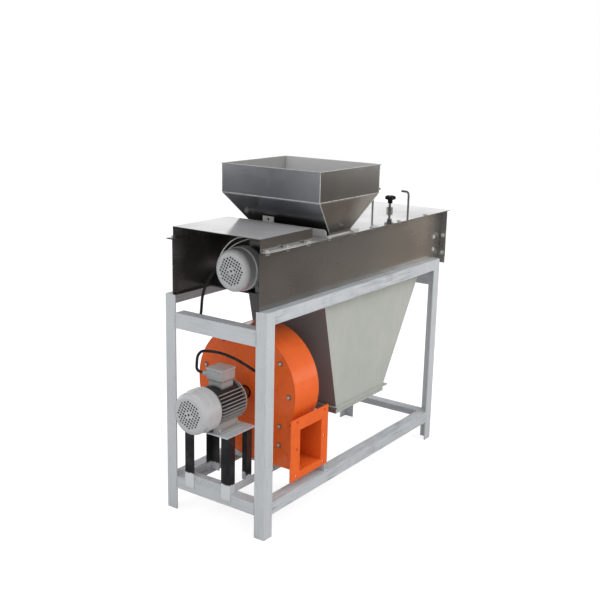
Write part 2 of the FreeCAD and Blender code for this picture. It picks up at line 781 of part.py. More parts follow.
def roller():
    """The roller: an abrasive shell on two end discs that are welded to the shaft."""
    y, z = MIDDLE, ROLLER_Z
    start, end = S.roller_start, GATE_PLANE - S.roller_setback
    bore, outer, disc = S.roller_outer - S.roller_shell, S.roller_outer, S.roller_disc
    shell = centred("roller_shell", [(start, bore), (end, bore), (end, outer), (start, outer)], y, z)
    shaft, gap = S.shaft_radius, S.running_gap
    tip = BEARING_PLATE + S.shaft_past
    loop = [(S.shaft_start, 0), (tip, 0), (tip, shaft),
            (end, shaft), (end, bore - gap), (end - disc, bore - gap), (end - disc, shaft),
            (start + disc, shaft), (start + disc, bore - gap), (start, bore - gap), (start, shaft),
            (S.shaft_start, shaft)]
    return [shell, centred("roller_shaft", loop, y, z)]


def coupling():
    """The bored sleeve that joins the motor's shaft to the roller's."""
    start = S.roller_motor_place + S.coupling_gap
    end, grip, outer = start + S.coupling_length, start + S.coupling_grip, S.coupling_radius
    loop = [(start, S.motor_shaft), (grip, S.motor_shaft), (grip, S.shaft_radius), (end, S.shaft_radius),
            (end, outer), (start, outer)]
    return centred("coupling", loop, MIDDLE, ROLLER_Z)


def bearing(label, face, side):
    """A flanged bearing housing on a plate: a square-shouldered boss round the shaft."""
    bore, boss, flange = S.shaft_radius + S.running_gap, S.bearing_boss - S.bearing_fit, S.bearing_radius

    def at(out, radius):
        return (face + side * out, radius)
    loop = [at(-S.plate_wall, bore), at(S.bearing_depth, bore), at(S.bearing_depth, boss),
            at(S.bearing_flange, boss + S.bearing_fit), at(S.bearing_flange, flange), at(0, flange),
            at(0, boss), at(-S.plate_wall, boss)]
    return centred(label, loop, MIDDLE, ROLLER_Z)


# Discharge gate, its rods, screw and knob

ROD_PLACE = GATE_PLANE + S.weir_wall + S.rod_radius - S.rod_weld
RODS_Y = span(MIDDLE - S.rod_shift, 2 * S.rod_offset)
BRACKET_BASE = WEIR_TOP - S.bracket_drop
KNOB_BASE = DECK_TOP + S.bush_tall + S.screw_rise


def polar(y, z, radius, angle):
    """A point of an outline at an angle, in degrees, round a centre."""
    turn = math.radians(angle)
    return (y + radius * math.cos(turn), z + radius * math.sin(turn))


def tangent_bends(points, radii):
    """The straight runs and tangent bends of a path: (start, end) pairs, and (centre, first, last) bends."""
    runs, bends, start = [], [], points[0]
    for before, corner, after, radius in zip(points, points[1:], points[2:], radii):
        back, onward = (before - corner).normalize(), (after - corner).normalize()
        half = back.getAngle(onward) / 2
        reach = radius / math.tan(half)
        first, last = corner + back * reach, corner + onward * reach
        centre = corner + (back + onward).normalize() * (radius / math.sin(half))
        runs.append((start, first))
        bends.append((centre, first, last))
        start = last
    runs.append((start, points[-1]))
    return runs, bends


def bent_bar(label, radius, points, radii):
    """A round bar or cable made of straight runs and tangent bends."""
    runs, bends = tangent_bends(points, radii)
    pieces = []
    for number, (start, end) in enumerate(runs):
        run = rod(f"{label}_run{number}", start, end - start, radius, radius)
        run.setExpression("Height", None)
        run.Height = (end - start).Length
        pieces.append(run)
    for number, (centre, first, last) in enumerate(bends):
        out, onward = first - centre, last - centre
        bend = DOC.addObject("Part::Torus", f"{label}_bend{number}")
        bind(bend, Radius2=radius)
        bend.Radius1 = out.Length
        bend.Angle3 = math.degrees(out.getAngle(onward))
        normal = out.cross(onward)
        bend.Placement = Placement(centre, Rotation(out, normal.cross(out), normal, "ZXY"))
        pieces.append(bend)
    return fuse(label, pieces)


def discharge_gate():
    """The weir plate at the sieve's end: round foot, slot over the shaft,
    two lifting rods, screw bracket."""
    y, z, foot = MIDDLE, ROLLER_Z, S.sieve_radius - S.weir_gap
    slot, top, ear_low = S.weir_slot, WEIR_TOP, WEIR_TOP - S.weir_ear
    slot_angle = math.degrees(math.asin(slot / foot))
    slot_low = z - foot * math.cos(math.radians(slot_angle))
    mid = (slot_angle - 90) / 2
    ear = RODS_Y[0] - 2 * S.rod_radius
    loop = [(y - slot, slot_low) + polar(y, z, foot, 180 - mid), (y - slot, z), (y + slot, z, y, z + slot),
            (y + slot, slot_low), (y + foot, z) + polar(y, z, foot, mid), (y + foot, top), (ear, top),
            (ear, ear_low), (y - foot, ear_low), (y - foot, z)]
    pieces = [extrusion("discharge_gate_plate", "YZ_Plane", GATE_PLANE, "weir_wall", [loop])]
    tip = DECK_TOP + S.rod_rise
    for number, (rod_y, inwards) in enumerate(zip(RODS_Y, (1, -1))):
        points = [Vector(ROD_PLACE, rod_y, ear_low), Vector(ROD_PLACE, rod_y, tip),
                  Vector(ROD_PLACE, rod_y + inwards * S.rod_bend, tip)]
        pieces.append(bent_bar(f"discharge_gate_rod{number}", "rod_radius", points, [S.rod_turn]))
    half = S.bracket_wide / 2
    bracket = rectangle(SCREW_X - half, SCREW_Y - half, GATE_PLANE, SCREW_Y + half)
    hole = circle(SCREW_X, SCREW_Y, S.screw_radius + S.rod_gap)
    pieces.append(extrusion("discharge_gate_bracket", "XY_Plane", BRACKET_BASE,
                            "bracket_wall", [bracket, hole]))
    return fuse("discharge_gate", pieces)


def adjusting_screw():
    """The screw that turns in the gate's bracket between two collars and climbs through the bush."""
    x, y, collar = SCREW_X, SCREW_Y, S.screw_collar
    low = BRACKET_BASE - S.rod_gap - collar
    high = BRACKET_BASE + S.bracket_wall + S.rod_gap
    stud = rod("adjusting_screw_stud", (x, y, low), (0, 0, 1), "screw_radius",
               "frame_height + body_tall + plate_wall + bush_tall + screw_rise + knob_neck_tall"
               " - frame_height - weir_rise + bracket_drop + screw_collar")
    lower = rod("adjusting_screw_lower", (x, y, low), (0, 0, 1),
                "screw_radius + screw_collar", "screw_collar")
    upper = rod("adjusting_screw_upper", (x, y, high), (0, 0, 1),
                "screw_radius + screw_collar", "screw_collar")
    return fuse("adjusting_screw", [stud, lower, upper])


def screw_bush():
    """The hexagonal bush in the lid that the screw climbs through."""
    x, y = SCREW_X, SCREW_Y
    head = DOC.addObject("Part::Prism", "screw_bush_head")
    bind(head, Circumradius="bush_flats", Height="bush_tall")
    head.Placement.Base = Vector(x, y, DECK_TOP)
    neck = rod("screw_bush_neck", (x, y, BODY_TOP - S.bush_drop), (0, 0, 1), "bush_neck",
               "bush_drop + plate_wall")
    bore = rod("screw_bush_bore", (x, y, BODY_TOP - S.bush_drop - S.overrun), (0, 0, 1),
               "screw_radius + running_gap", "bush_drop + plate_wall + bush_tall + 2 * overrun")
    return cut("screw_bush", fuse("screw_bush_body", [head, neck]), [bore])


def knob():
    """The five-lobed hand knob on the screw."""
    x, y = SCREW_X, SCREW_Y
    pitch, outer, waist = 360 / S.knob_lobes, S.knob_radius, S.knob_radius - S.knob_lobe
    shoulder = (outer + waist) / 2
    loop = []
    for lobe in range(int(S.knob_lobes)):
        angle = lobe * pitch
        loop.append(polar(x, y, shoulder, angle - pitch / 4) + polar(x, y, waist, angle - pitch / 2))
        loop.append(polar(x, y, shoulder, angle + pitch / 4) + polar(x, y, outer, angle))
    head = extrusion("knob_head", "XY_Plane", KNOB_BASE + S.knob_neck_tall, "knob_tall", [loop])
    neck = rod("knob_neck", (x, y, KNOB_BASE), (0, 0, 1), "knob_neck", "knob_neck_tall")
    bore = rod("knob_bore", (x, y, KNOB_BASE - S.overrun), (0, 0, 1), "screw_radius + running_gap",
               "overrun + knob_neck_tall")
    return cut("knob", fuse("knob_body", [head, neck]), [bore])


# Suction hopper

def suction_form(name, inset):
    """The tapering solid of the suction hopper, drawn in on every side by an inset."""
    return funnel(name, S.suction_low, (S.suction_low_start + inset, S.suction_low_end - inset),
                  (S.suction_face + inset, S.frame_width - S.suction_face - inset), BODY_BASE,
                  (S.suction_top_start + inset, BODY_END - S.suction_setback - inset),
                  (S.suction_face + inset, S.frame_width - S.suction_face - inset))


def turned_edge(label, place, outward, inward):
    """A level flange round the suction hopper's lower end."""
    near, far = S.suction_face, S.frame_width - S.suction_face
    start, end = S.suction_low_start, S.suction_low_end
    ring = [rectangle(start - outward, near - outward, end + outward, far + outward),
            rectangle(start + inward, near + inward, end - inward, far - inward)]
    return extrusion(label, "XY_Plane", place, "suction_wall", ring)


def suction_hopper():
    shell = cut("suction_hopper_shell", suction_form("suction_hopper_outer", 0),
                [suction_form("suction_hopper_inner", S.suction_wall)])
    edge = turned_edge("suction_hopper_edge", S.suction_low, S.tray_turn, S.suction_wall)
    inlet = rod("suction_hopper_inlet", (S.suction_top_start, FAN_Y, S.fan_axis_z), (1, 0, 0),
                "collar_radius - suction_wall", "collar_end - suction_top_start + overrun")
    return cut("suction_hopper", fuse("suction_hopper_sheet", [shell, edge]), [inlet])


def suction_tray():
    """The shallow clean-out tray bolted under the suction hopper."""
    wall, base = S.suction_wall, S.suction_low - S.tray_tall
    near, start = S.suction_face, S.suction_low_start
    outer = box("suction_tray_outer", (start, near, base), "suction_low_end - suction_low_start",
                "frame_width - 2 * suction_face", "tray_tall")
    inner = box("suction_tray_inner", (start + wall, near + wall, base + wall),
                "suction_low_end - suction_low_start - 2 * suction_wall",
                "frame_width - 2 * suction_face - 2 * suction_wall", "tray_tall")
    edge = turned_edge("suction_tray_edge", S.suction_low - wall, S.tray_turn, wall)
    return fuse("suction_tray", [cut("suction_tray_pan", outer, [inner]), edge])


def inlet_collar():
    """The round duct from the suction hopper's sloping face to the blower's eye."""
    start, bore = S.fan_front + S.fan_depth, S.collar_radius - S.suction_wall
    tube = turned("inlet_collar_tube", [(start, bore), (S.collar_end, bore),
                                       (S.collar_end, S.collar_radius),
                                        (start, S.collar_radius)])
    tube.Placement.Base = Vector(0, FAN_Y, S.fan_axis_z)
    return cut("inlet_collar", tube, [suction_form("inlet_collar_trim", 0)])


# Blower

LOW_RADIUS = S.scroll_centre_z - S.scroll_floor
LOW_CENTRE = SCROLL_Y + S.scroll_radius - LOW_RADIUS
FAN_REAR = S.fan_front + S.fan_depth
SHAFT_TIP = S.blower_motor_place + S.motor_reach
FAN_BOLT_ANGLES = (-32, 14, 56, 99, 143, 180, 217)


def scroll_loop(inset):
    """The spiral outline: duct roof, tongue, large turn, low turn and duct floor, to the mouth."""
    y, z, radius, low = SCROLL_Y, S.scroll_centre_z, S.scroll_radius - inset, LOW_RADIUS - inset
    roof, floor, mouth = S.duct_roof - inset, S.scroll_floor + inset, OUTLET_FACE + S.outlet_wall
    tongue = (y - math.sqrt(radius ** 2 - (z - roof) ** 2), roof)
    return [(mouth, roof), tongue, (y + radius, z, y, z + radius),
            (LOW_CENTRE, floor) + polar(LOW_CENTRE, z, low, -45), (mouth, floor)]


def wrapper_loop(wall):
    """The outline of the spiral sheet alone, open at the mouth: out along its outside, back inside."""
    outside, inside = scroll_loop(0), scroll_loop(wall)
    mouth_roof, tongue, crown, low, mouth_floor = inside
    back = [mouth_floor, low[:2], crown[:2] + low[2:], tongue + crown[2:], mouth_roof]
    return outside + back


def fan_bolt_spots():
    """Bolt centres round the blower's front, with one beside the duct."""
    ring = S.scroll_radius - S.front_turn
    spots = [polar(SCROLL_Y, S.scroll_centre_z, ring, angle) for angle in FAN_BOLT_ANGLES]
    return spots + [(S.duct_bolt, (S.duct_roof + S.scroll_floor) / 2)]


def bolt_holes(spots):
    return [circle(u, v, S.bolt_radius + S.bolt_gap) for u, v in spots]


def fan_scroll():
    """The blower's welded casing: spiral wrapper, rear plate with its eye, front edge and outlet flange."""
    front, wall = S.fan_front, S.scroll_wall
    wrapper = extrusion("fan_scroll_wrapper", "YZ_Plane", front, "fan_depth", [wrapper_loop(wall)])
    rear = extrusion("fan_scroll_rear", "YZ_Plane", FAN_REAR - wall, "scroll_wall",
                     [scroll_loop(0), circle(FAN_Y, S.fan_axis_z, S.inlet_radius)])
    opening = circle(SCROLL_Y, S.scroll_centre_z, S.scroll_radius - S.front_turn - S.front_lap)
    edge = extrusion("fan_scroll_edge", "YZ_Plane", front, "scroll_wall",
                     [scroll_loop(0), opening] + bolt_holes(fan_bolt_spots()))
    side, start, base = S.outlet_side, S.outlet_start, S.outlet_base
    mouth = rectangle(front + wall, S.scroll_floor + wall, FAN_REAR - wall, S.duct_roof - wall)
    holes = [circle(x, z, S.outlet_hole)
             for x in span(front + S.fan_depth / 2, S.outlet_holes_x)
             for z in span(base + side / 2, S.outlet_holes_z) + (base + side / 2,)]
    flange = extrusion("fan_scroll_flange", "XZ_Plane", OUTLET_FACE, "outlet_wall",
                       [rectangle(start, base, start + side, base + side), mouth] + holes)
    return fuse("fan_scroll", [wrapper, rear, edge, flange])


def fan_front_plate():
    """The bolted front of the blower, with the hole that the impeller's hub turns in."""
    hub = circle(FAN_Y, S.fan_axis_z, S.impeller_hub + S.hub_gap)
    return extrusion("fan_front_plate", "YZ_Plane", S.fan_front - S.scroll_wall, "scroll_wall",
                     [scroll_loop(0), hub] + bolt_holes(fan_bolt_spots()))


def impeller():
    """The backward-curved impeller: back plate on its hub, blades and front ring."""
    back, wall, radius, hub = S.fan_front + S.impeller_gap, S.impeller_wall, S.impeller_radius, S.impeller_hub
    front = back + wall
    bore = S.motor_shaft + S.running_gap
    disc = centred("impeller_disc", [
        (front - S.hub_length, bore),
        (SHAFT_TIP + S.slide_clearance, bore), (SHAFT_TIP + S.slide_clearance, 0),
        (front + wall, 0), (front + wall, hub), (front, hub), (front, radius), (back, radius), (back, hub),
        (front - S.hub_length, hub)], FAN_Y, S.fan_axis_z)
    eye, sweep = S.impeller_eye, S.blade_sweep
    middle = (eye + radius) / 2
    loops = []
    for blade in range(int(S.blade_count)):
        angle = blade * 360 / S.blade_count

        def side(at_radius, turn, shift):
            return polar(0, 0, at_radius, angle - turn + shift * math.degrees(wall / at_radius))
        loops.append([
            side(eye, 0, 0), side(radius, sweep, 0) + side(middle, sweep * S.blade_share, 0),
            side(radius, sweep, 1), side(eye, 0, 1) + side(middle, sweep * S.blade_share, 1)])
    blades = extrusion("impeller_blades", "YZ_Plane", front, "impeller_depth", loops)
    ring = extrusion("impeller_ring", "YZ_Plane", front + S.impeller_depth, "impeller_wall",
                     [circle(0, 0, radius), circle(0, 0, eye)])
    for form in (blades, ring):
        form.Placement.Base = Vector(0, FAN_Y, S.fan_axis_z)
    return fuse("impeller", [disc, blades, ring])


# Motors, built round the origin with the shaft's shoulder at zero and the shaft along X

BOX_PLACE = MOTOR_BACK - S.box_room - S.box_side / 2


def stator(name):
    """The finned frame: one outline whose fins leave room for the box seat above and the feet below."""
    core, tip, half = S.stator_core, S.fin_radius, S.fin_wall / 2
    root_turn, tip_turn = math.degrees(half / core), math.degrees(half / tip)
    pitch = 360 / S.fin_count
    angles = [(fin + S.fin_shift_share) * pitch for fin in range(int(S.fin_count))]
    fins = [angle for angle in angles
            if abs(angle - 90) > S.box_seat_angle and abs(angle - 270) > S.foot_angle]
    loop, before = [], fins[-1] - 360
    for angle in fins:
        foot = polar(0, 0, core, angle - root_turn)
        loop.append(foot + polar(0, 0, core, (before + angle) / 2))
        loop += [polar(0, 0, tip, angle - tip_turn), polar(0, 0, tip, angle + tip_turn),
                 polar(0, 0, core, angle + root_turn)]
        before = angle
    bore = circle(0, 0, S.motor_shaft + S.running_gap)
    return extrusion(name, "YZ_Plane", S.rear_shield - MOTOR_BACK,
                     "motor_length - cowl_length - rear_shield - shield_depth", [loop, bore])


def motor_housing(name):
    """Stator frame, two end shields, foot pair and the seat of the terminal box."""
    bore, radius, nose, depth = S.motor_shaft + S.running_gap, S.shield_radius, S.shield_nose, S.shield_depth
    rear = S.rear_shield - MOTOR_BACK
    front_shield = turned(name + "_front", [
        (-depth, bore), (0, bore), (0, nose), (-depth / 3, nose), (-depth / 2, (nose + radius) / 2),
        (-2 * depth / 3, radius), (-depth, radius)])
    rear_shield = turned(name + "_back", [
        (rear, bore), (rear - S.rear_shield, bore), (rear - S.rear_shield, nose),
        (rear - S.rear_shield / 2, radius - S.rear_shield / 2), (rear, radius)])
    start = -S.foot_holes_start - FOOT_HOLES_X - S.foot_margin
    out, low, wall = S.foot_holes_y / 2 + S.foot_margin + S.foot_hole, -S.shaft_height, S.foot_wall
    inner = out - S.foot_wide
    feet = []
    for side in (-1, 1):
        loop = [(side * inner, low), (side * out, low), (side * out, low + wall),
                (side * (inner + S.foot_web), low + wall), (side * (inner + wall), low + S.foot_rise),
                (side * (inner - wall), low + S.foot_rise), (side * inner, low + wall)]
        feet.append(extrusion(f"{name}_foot{side}", "YZ_Plane", start, 
                              "motor_length - cowl_length - foot_holes_start + foot_margin", [loop]))
    half = S.box_seat / 2
    seat = box(name + "_seat", (-BOX_PLACE - half, -half, S.stator_core - S.overrun),
               "box_seat", "box_seat",
               "box_base - stator_core + overrun")
    spots = foot_spots(0, 0, low + wall / 2)
    tools = [rod(f"{name}_hole{number}", Vector(*spot) - Vector(0, 0, wall), (0, 0, 1),
                 "foot_hole", "2 * foot_wall")
             for number, spot in enumerate(spots)]
    casting = fuse(name + "_casting", [stator(name + "_stator"), front_shield, rear_shield, seat] + feet)
    return cut(name, casting, tools)


def motor_cowl(name):
    """The cooling fan's cowl: stepped shell with a round shoulder and square holes in its end."""
    end, wall, radius, bend = -S.motor_length, S.cowl_wall, S.cowl_radius, S.cowl_round
    open_end, neck = end + S.cowl_length, radius - S.cowl_step
    step, share = open_end - S.cowl_skirt, math.sqrt(0.5)
    turn_x, turn_r = end + bend, neck - bend
    loop = [(open_end, radius), (step, radius), (step - S.cowl_step, neck), (turn_x, neck),
            (end, turn_r, turn_x - bend * share, turn_r + bend * share), (end, S.cowl_eye),
            (end + wall, S.cowl_eye), (end + wall, turn_r),
            (turn_x, neck - wall, turn_x - (bend - wall) * share, turn_r + (bend - wall) * share),
            (step - S.cowl_step, neck - wall), (step, radius - wall), (open_end, radius - wall)]
    body = turned(name, loop)
    holes, half, turn = [], S.grille_hole / 2, math.radians(S.grille_turn)
    reach = int(S.grille_radius / S.grille_pitch) + 1
    for column in range(-reach, reach + 1):
        for line in range(-reach, reach + 1):
            u, v = column * S.grille_pitch, line * S.grille_pitch
            if S.grille_pitch < math.hypot(u, v) < S.grille_radius - S.grille_hole:
                corners = rectangle(u - half, v - half, u + half, v + half)
                holes.append([(a * math.cos(turn) - b * math.sin(turn),
                              a * math.sin(turn) + b * math.cos(turn))
                              for a, b in corners])
    grille = outline(body, "YZ_Plane", end, holes)
    grille.Label = name + "_grille"
    pocket = body.newObject("PartDesign::Pocket", name + "_pocket")
    pocket.Profile = grille
    pocket.Reversed = True
    bind(pocket, Length="2 * cowl_wall")
    body.Tip = pocket
    return body


def terminal_box(name, gland_axis):
    """The terminal box with its lid and one cable gland."""
    half, base = S.box_side / 2, S.box_base
    inset = S.box_step
    body = box(name + "_body", (-BOX_PLACE - half + inset, -half + inset, base), "box_side - 2 * box_step",
               "box_side - 2 * box_step", "box_tall - box_lid")
    top = box(name + "_lid", (-BOX_PLACE - half, -half, base + S.box_tall - S.box_lid),
              "box_side", "box_side",
              "box_lid")
    gland = DOC.addObject("Part::Prism", name + "_gland")
    bind(gland, Circumradius="gland_radius", Height="gland_length")
    gland.Placement = Placement(gland_foot(gland_axis), turn_to(gland_axis))
    return fuse(name, [body, top, gland])


def gland_foot(axis):
    """Where the cable gland stands on the terminal box's wall."""
    out = S.box_side / 2 - S.box_step
    return Vector(-BOX_PLACE - S.gland_shift + axis[0] * (out - S.gland_shift), axis[1] * out,
                  S.box_base + (S.box_tall - S.box_lid) / 2)


def motor_rotor(name):
    """The shaft through the motor, with the cooling fan's hub, disc and straight blades."""
    shaft, hub, fan = S.motor_shaft, S.fan_hub, S.cooling_fan
    start = -S.motor_length + S.cowl_room
    end = start + S.fan_blade
    wall = S.fan_disc
    loop = [(start, 0), (S.motor_reach, 0), (S.motor_reach, shaft), (end + wall, shaft), (end + wall, fan),
            (end, fan), (end, hub), (start, hub)]
    blades = [turned(name + "_shaft", loop)]
    for number in range(int(S.fan_blades)):
        blade = box(f"{name}_blade{number}", (0, 0, 0), "fan_blade",
                    "fan_disc", "cooling_fan - fan_hub + fan_disc")
        turn = Placement(Vector(), Rotation(Vector(1, 0, 0), number * 360 / S.fan_blades))
        blade.Placement = turn.multiply(Placement(Vector(start, -wall / 2, hub - wall), Rotation()))
        blades.append(blade)
    return fuse(name, blades)


def motor(prefix, place, y, z, gland_axis):
    """A foot-mounted three-phase motor as housing, cowl, terminal box and rotor."""
    pieces = [motor_housing(prefix + "_motor_housing"), motor_cowl(prefix + "_motor_cowl"),
              terminal_box(prefix + "_terminal_box", gland_axis), motor_rotor(prefix + "_motor_rotor")]
    for piece in pieces:
        piece.Placement.Base = Vector(place, y, z)
    return pieces


# Blower stand

PLATE_TOP = S.fan_axis_z - S.shaft_height
PLATE_BASE = PLATE_TOP - S.motor_plate_wall
BASE_TOP = S.low_rail_base + S.angle_leg
STAND_NEAR = FAN_Y - S.stand_near_reach
STAND_FAR = FAN_Y + S.stand_far_reach


def motor_plate():
    """The plate that the blower's motor is bolted to."""
    start = S.blower_motor_place - S.foot_holes_start - FOOT_HOLES_X - S.motor_plate_edge
    end = S.blower_motor_place - S.foot_holes_start + S.motor_plate_nose
    near, far = span(FAN_Y, S.motor_plate_width)
    sheet = rectangle(start, near, end, far)
    holes = [circle(x, y, S.foot_hole) for x, y, z in foot_spots(S.blower_motor_place, FAN_Y, PLATE_TOP)]
    return extrusion("motor_plate", "XY_Plane", PLATE_BASE, "motor_plate_wall", [sheet] + holes)


def stand_leg(label, edge, side, flat_x, web_x, base, web_base):
    """An angle leg of the blower's stand: a flat across the machine and a web along it."""
    wide, wall = S.stand_leg_wide, S.stand_leg_wall
    flat = box(label + "_flat", (flat_x, edge if side > 0 else edge - wide, base),
               "stand_leg_wall", "stand_leg_wide",
               "stand_leg_wall")
    web = box(label + "_web", (web_x, edge if side > 0 else edge - wall, web_base),
              "stand_leg_deep - stand_leg_wall",
              "stand_leg_wall", "stand_leg_wall")
    for strip, low in ((flat, base), (web, web_base)):
        strip.setExpression("Height", None)
        strip.Height = PLATE_BASE - low
    return fuse(label, [flat, web])


def stand_legs():
    wall, deep = S.stand_leg_wall, S.stand_leg_deep
    near, far, rear = STAND_NEAR, STAND_FAR, S.stand_rear_place
    inner_near, inner_far = near + wall + S.base_leg_wall, far - wall - S.base_leg_wall
    rear_base = BASE_TOP + S.base_leg_wall
    return [
        stand_leg("stand_leg_front_near", near, 1, -wall, 0, S.stand_leg_base, BASE_TOP),
        stand_leg("stand_leg_front_far", far, -1, -wall, 0, S.stand_leg_base, BASE_TOP),
        stand_leg("stand_leg_rear_near", inner_near, 1, rear + deep - wall, rear, rear_base, rear_base),
        stand_leg("stand_leg_rear_far", inner_far, -1, rear + deep - wall, rear, rear_base, rear_base),
    ]


def blower_base():
    """The welded base of angle iron on the low rails, with two cradles under the blower's casing."""
    side, wall, base = S.base_leg, S.base_leg_wall, BASE_TOP
    near, far, rear = STAND_NEAR + S.stand_leg_wall, STAND_FAR - S.stand_leg_wall, S.base_rear
    pieces = [
        box("blower_base_front_upright", (0, near, base), "base_leg_wall",
            "stand_near_reach + stand_far_reach - 2 * stand_leg_wall", "base_leg"),
        box("blower_base_front_level", (wall, near, base + side - wall), "base_leg - base_leg_wall",
            "stand_near_reach + stand_far_reach - 2 * stand_leg_wall", "base_leg_wall"),
        box("blower_base_rear_upright", (rear, wall, base), "base_leg_wall", "frame_width - 2 * angle_wall",
            "base_leg"),
        box("blower_base_rear_level", (rear + wall, wall, base), "base_leg - base_leg_wall",
            "frame_width - 2 * angle_wall", "base_leg_wall"),
    ]
    for name, upright, level in (("near", near, near + wall), ("far", far - wall, far - side)):
        pieces.append(box(f"blower_base_{name}_upright", (side, upright, base), "base_rear - base_leg",
                          "base_leg_wall", "base_leg"))
        pieces.append(box(f"blower_base_{name}_level", (side, level, base), "base_rear - base_leg",
                          "base_leg - base_leg_wall", "base_leg_wall"))
    cradle_base = base + side
    cradles = [box(f"blower_base_cradle{number}", (x, near, cradle_base), "base_leg_wall",
                   "stand_near_reach + stand_far_reach - 2 * stand_leg_wall",
                   "scroll_floor - low_rail_base")
               for number, x in enumerate((S.fan_front + side, FAN_REAR - side))]
    low_turn = rod("blower_base_turn", (S.fan_front, LOW_CENTRE, S.scroll_centre_z), (1, 0, 0),
                   "scroll_centre_z - scroll_floor + slide_clearance", "fan_depth")
    above = box("blower_base_above", (S.fan_front, 0, S.scroll_floor), "fan_depth",
                "frame_width / 2 + fan_shift - scroll_shift + scroll_radius - scroll_centre_z + scroll_floor",
                "scroll_centre_z")
    saddles = cut("blower_base_saddles", group("blower_base_cradles", cradles), [low_turn, above])
    return fuse("blower_base", pieces + [saddles])


# Leads

LEAD_ARCH_SHARES = ((0.02, 0.85), (0.31, 1), (0.57, 0.88), (0.81, 0.59), (0.99, 0.55))
LEAD_CROSS_SHARES = (0.36, 0.72)
CORE_SHARES = (((0.1, 0.1, 0.46), (0.3, 0.55, 0.97)), ((0.12, 0.2, 0.4), (0.38, 0.58, 0.78)))


def bend_radii(points):
    """Radii whose bends use up a fixed share of the shorter of their two runs."""
    radii = []
    for before, corner, after in zip(points, points[1:], points[2:]):
        back, onward = before - corner, after - corner
        shorter = min(back.Length, onward.Length)
        radii.append(S.lead_bend_share * shorter * math.tan(back.getAngle(onward) / 2))
    return radii


def gland_tip(place, y, z, axis):
    """Where a lead leaves the gland of a motor's terminal box."""
    return Vector(place, y, z) + gland_foot(axis) + Vector(*axis) * S.gland_length


def lead_route():
    """From the blower's gland, in an arch into the near post's corner, up it, across behind the end
    rail and up beside the roller motor's cowl."""
    tip = gland_tip(S.blower_motor_place, FAN_Y, S.fan_axis_z, (0, 1, 0))
    inset, slack, out = S.lead_inset, S.lead_slack, tip.y + S.lead_out
    arch = [Vector(tip.x, out + (inset - out) * along, tip.z + S.lead_rise * up)
            for along, up in LEAD_ARCH_SHARES]
    arch[-1].x = inset + slack
    rail = END_RAIL_BASE + S.end_rail_tall - S.lead_rail_drop
    reach = MIDDLE + S.lead_reach
    cross = [Vector(inset + slack, inset + (reach - inset) * share, rail - number * slack)
             for number, share in enumerate(LEAD_CROSS_SHARES)]
    past = S.angle_leg + S.lead_clear
    return [tip, Vector(tip.x, out, tip.z)] + arch + [
        Vector(inset, inset, (arch[-1].z + rail) / 2), Vector(inset, inset, rail)] + cross + [
        Vector(inset + 2 * slack, reach, rail), Vector(past, reach + S.lead_clear, rail + 2 * slack),
        Vector(past + slack, reach + S.lead_clear - slack, BODY_BASE + 3 * slack),
        Vector(S.roller_motor_place - S.motor_length + S.cowl_length / 2,
               MIDDLE + S.cowl_radius + S.lead_gap, ROLLER_Z)]


def leads():
    """The black lead between the motors, and its two white cores at the roller motor's end."""
    route = lead_route()
    sheath = bent_bar("motor_lead", "lead_radius", route, bend_radii(route))
    onward = (route[-1] - route[-2]).normalize()
    split = route[-1] + onward * S.lead_joint
    tip = gland_tip(S.roller_motor_place, MIDDLE, ROLLER_Z, (-1, 0, 0))
    step = tip - split
    cores = []
    for number, (side, shares) in enumerate(zip((1, -1), CORE_SHARES)):
        beside = Vector(0, 0, 1).cross(onward).normalize() * (side * S.core_shift)
        middle = [split + Vector(step.x * u, step.y * v, step.z * w) for u, v, w in shares]
        end = tip + Vector(S.lead_joint - S.core_radius, side * S.core_shift, side * S.core_shift)
        points = [split - beside] + middle + [end]
        cores.append(bent_bar(f"motor_lead_core{number}", "core_radius", points, bend_radii(points)))
    return [sheath, group("motor_lead_cores", cores)]


# Fasteners, each kind one group

def body_bolts():
    """Bolts through the body's flanges, its end panel and its bearing plate."""
    bolts = []
    for number, (x, y, z) in enumerate(flange_bolts(PANEL_BOLTS_X)):
        covered = x < COVER_END
        top, top_name = (S.sheet_wall, "sheet_wall") if covered else (S.plate_wall, "plate_wall")
        bolts.append(bolt(f"flange_bolt{number}", (x, y, z + top), (0, 0, 1), "sheet_wall + " + top_name,
                          S.sheet_wall + top))
    ends = [(y, z) for y in (BODY_NEAR - FLANGE_MID, BODY_FAR + FLANGE_MID) for z in END_BOLTS_Z]
    for number, (y, z) in enumerate(ends):
        bolts.append(bolt(f"end_bolt{number}", (BODY_END + S.sheet_wall, y, z), (1, 0, 0), "2 * sheet_wall",
                          2 * S.sheet_wall))
    for number, (y, side) in enumerate(((BODY_NEAR, -1), (BODY_FAR, 1))):
        for z in BEARING_BOLTS_Z:
            bolts.append(bolt(f"bearing_bolt{number}_{z}", (BEARING_BOLT, y, z), (0, side, 0),
                              "sheet_wall + plate_wall", S.sheet_wall + S.plate_wall))
    return group("body_bolts", bolts)


def fan_bolts():
    """Bolts round the blower's front plate."""
    face = S.fan_front - S.scroll_wall
    return group("fan_bolts", [
        bolt(f"fan_bolt{number}", (face, y, z), (-1, 0, 0), "2 * scroll_wall", 2 * S.scroll_wall)
        for number, (y, z) in enumerate(fan_bolt_spots())])


def motor_bolts():
    """Foot bolts of both motors."""
    bolts = []
    spots = foot_spots(S.blower_motor_place, FAN_Y, PLATE_TOP + S.foot_wall)
    spots += foot_spots(S.roller_motor_place, MIDDLE, ROLLER_Z - S.shaft_height + S.foot_wall)
    for number, spot in enumerate(spots):
        bolts.append(bolt(f"foot_bolt{number}", spot, (0, 0, 1), "foot_wall + angle_wall",
                          S.foot_wall + S.angle_wall))
    return group("motor_bolts", bolts)


# The assembly

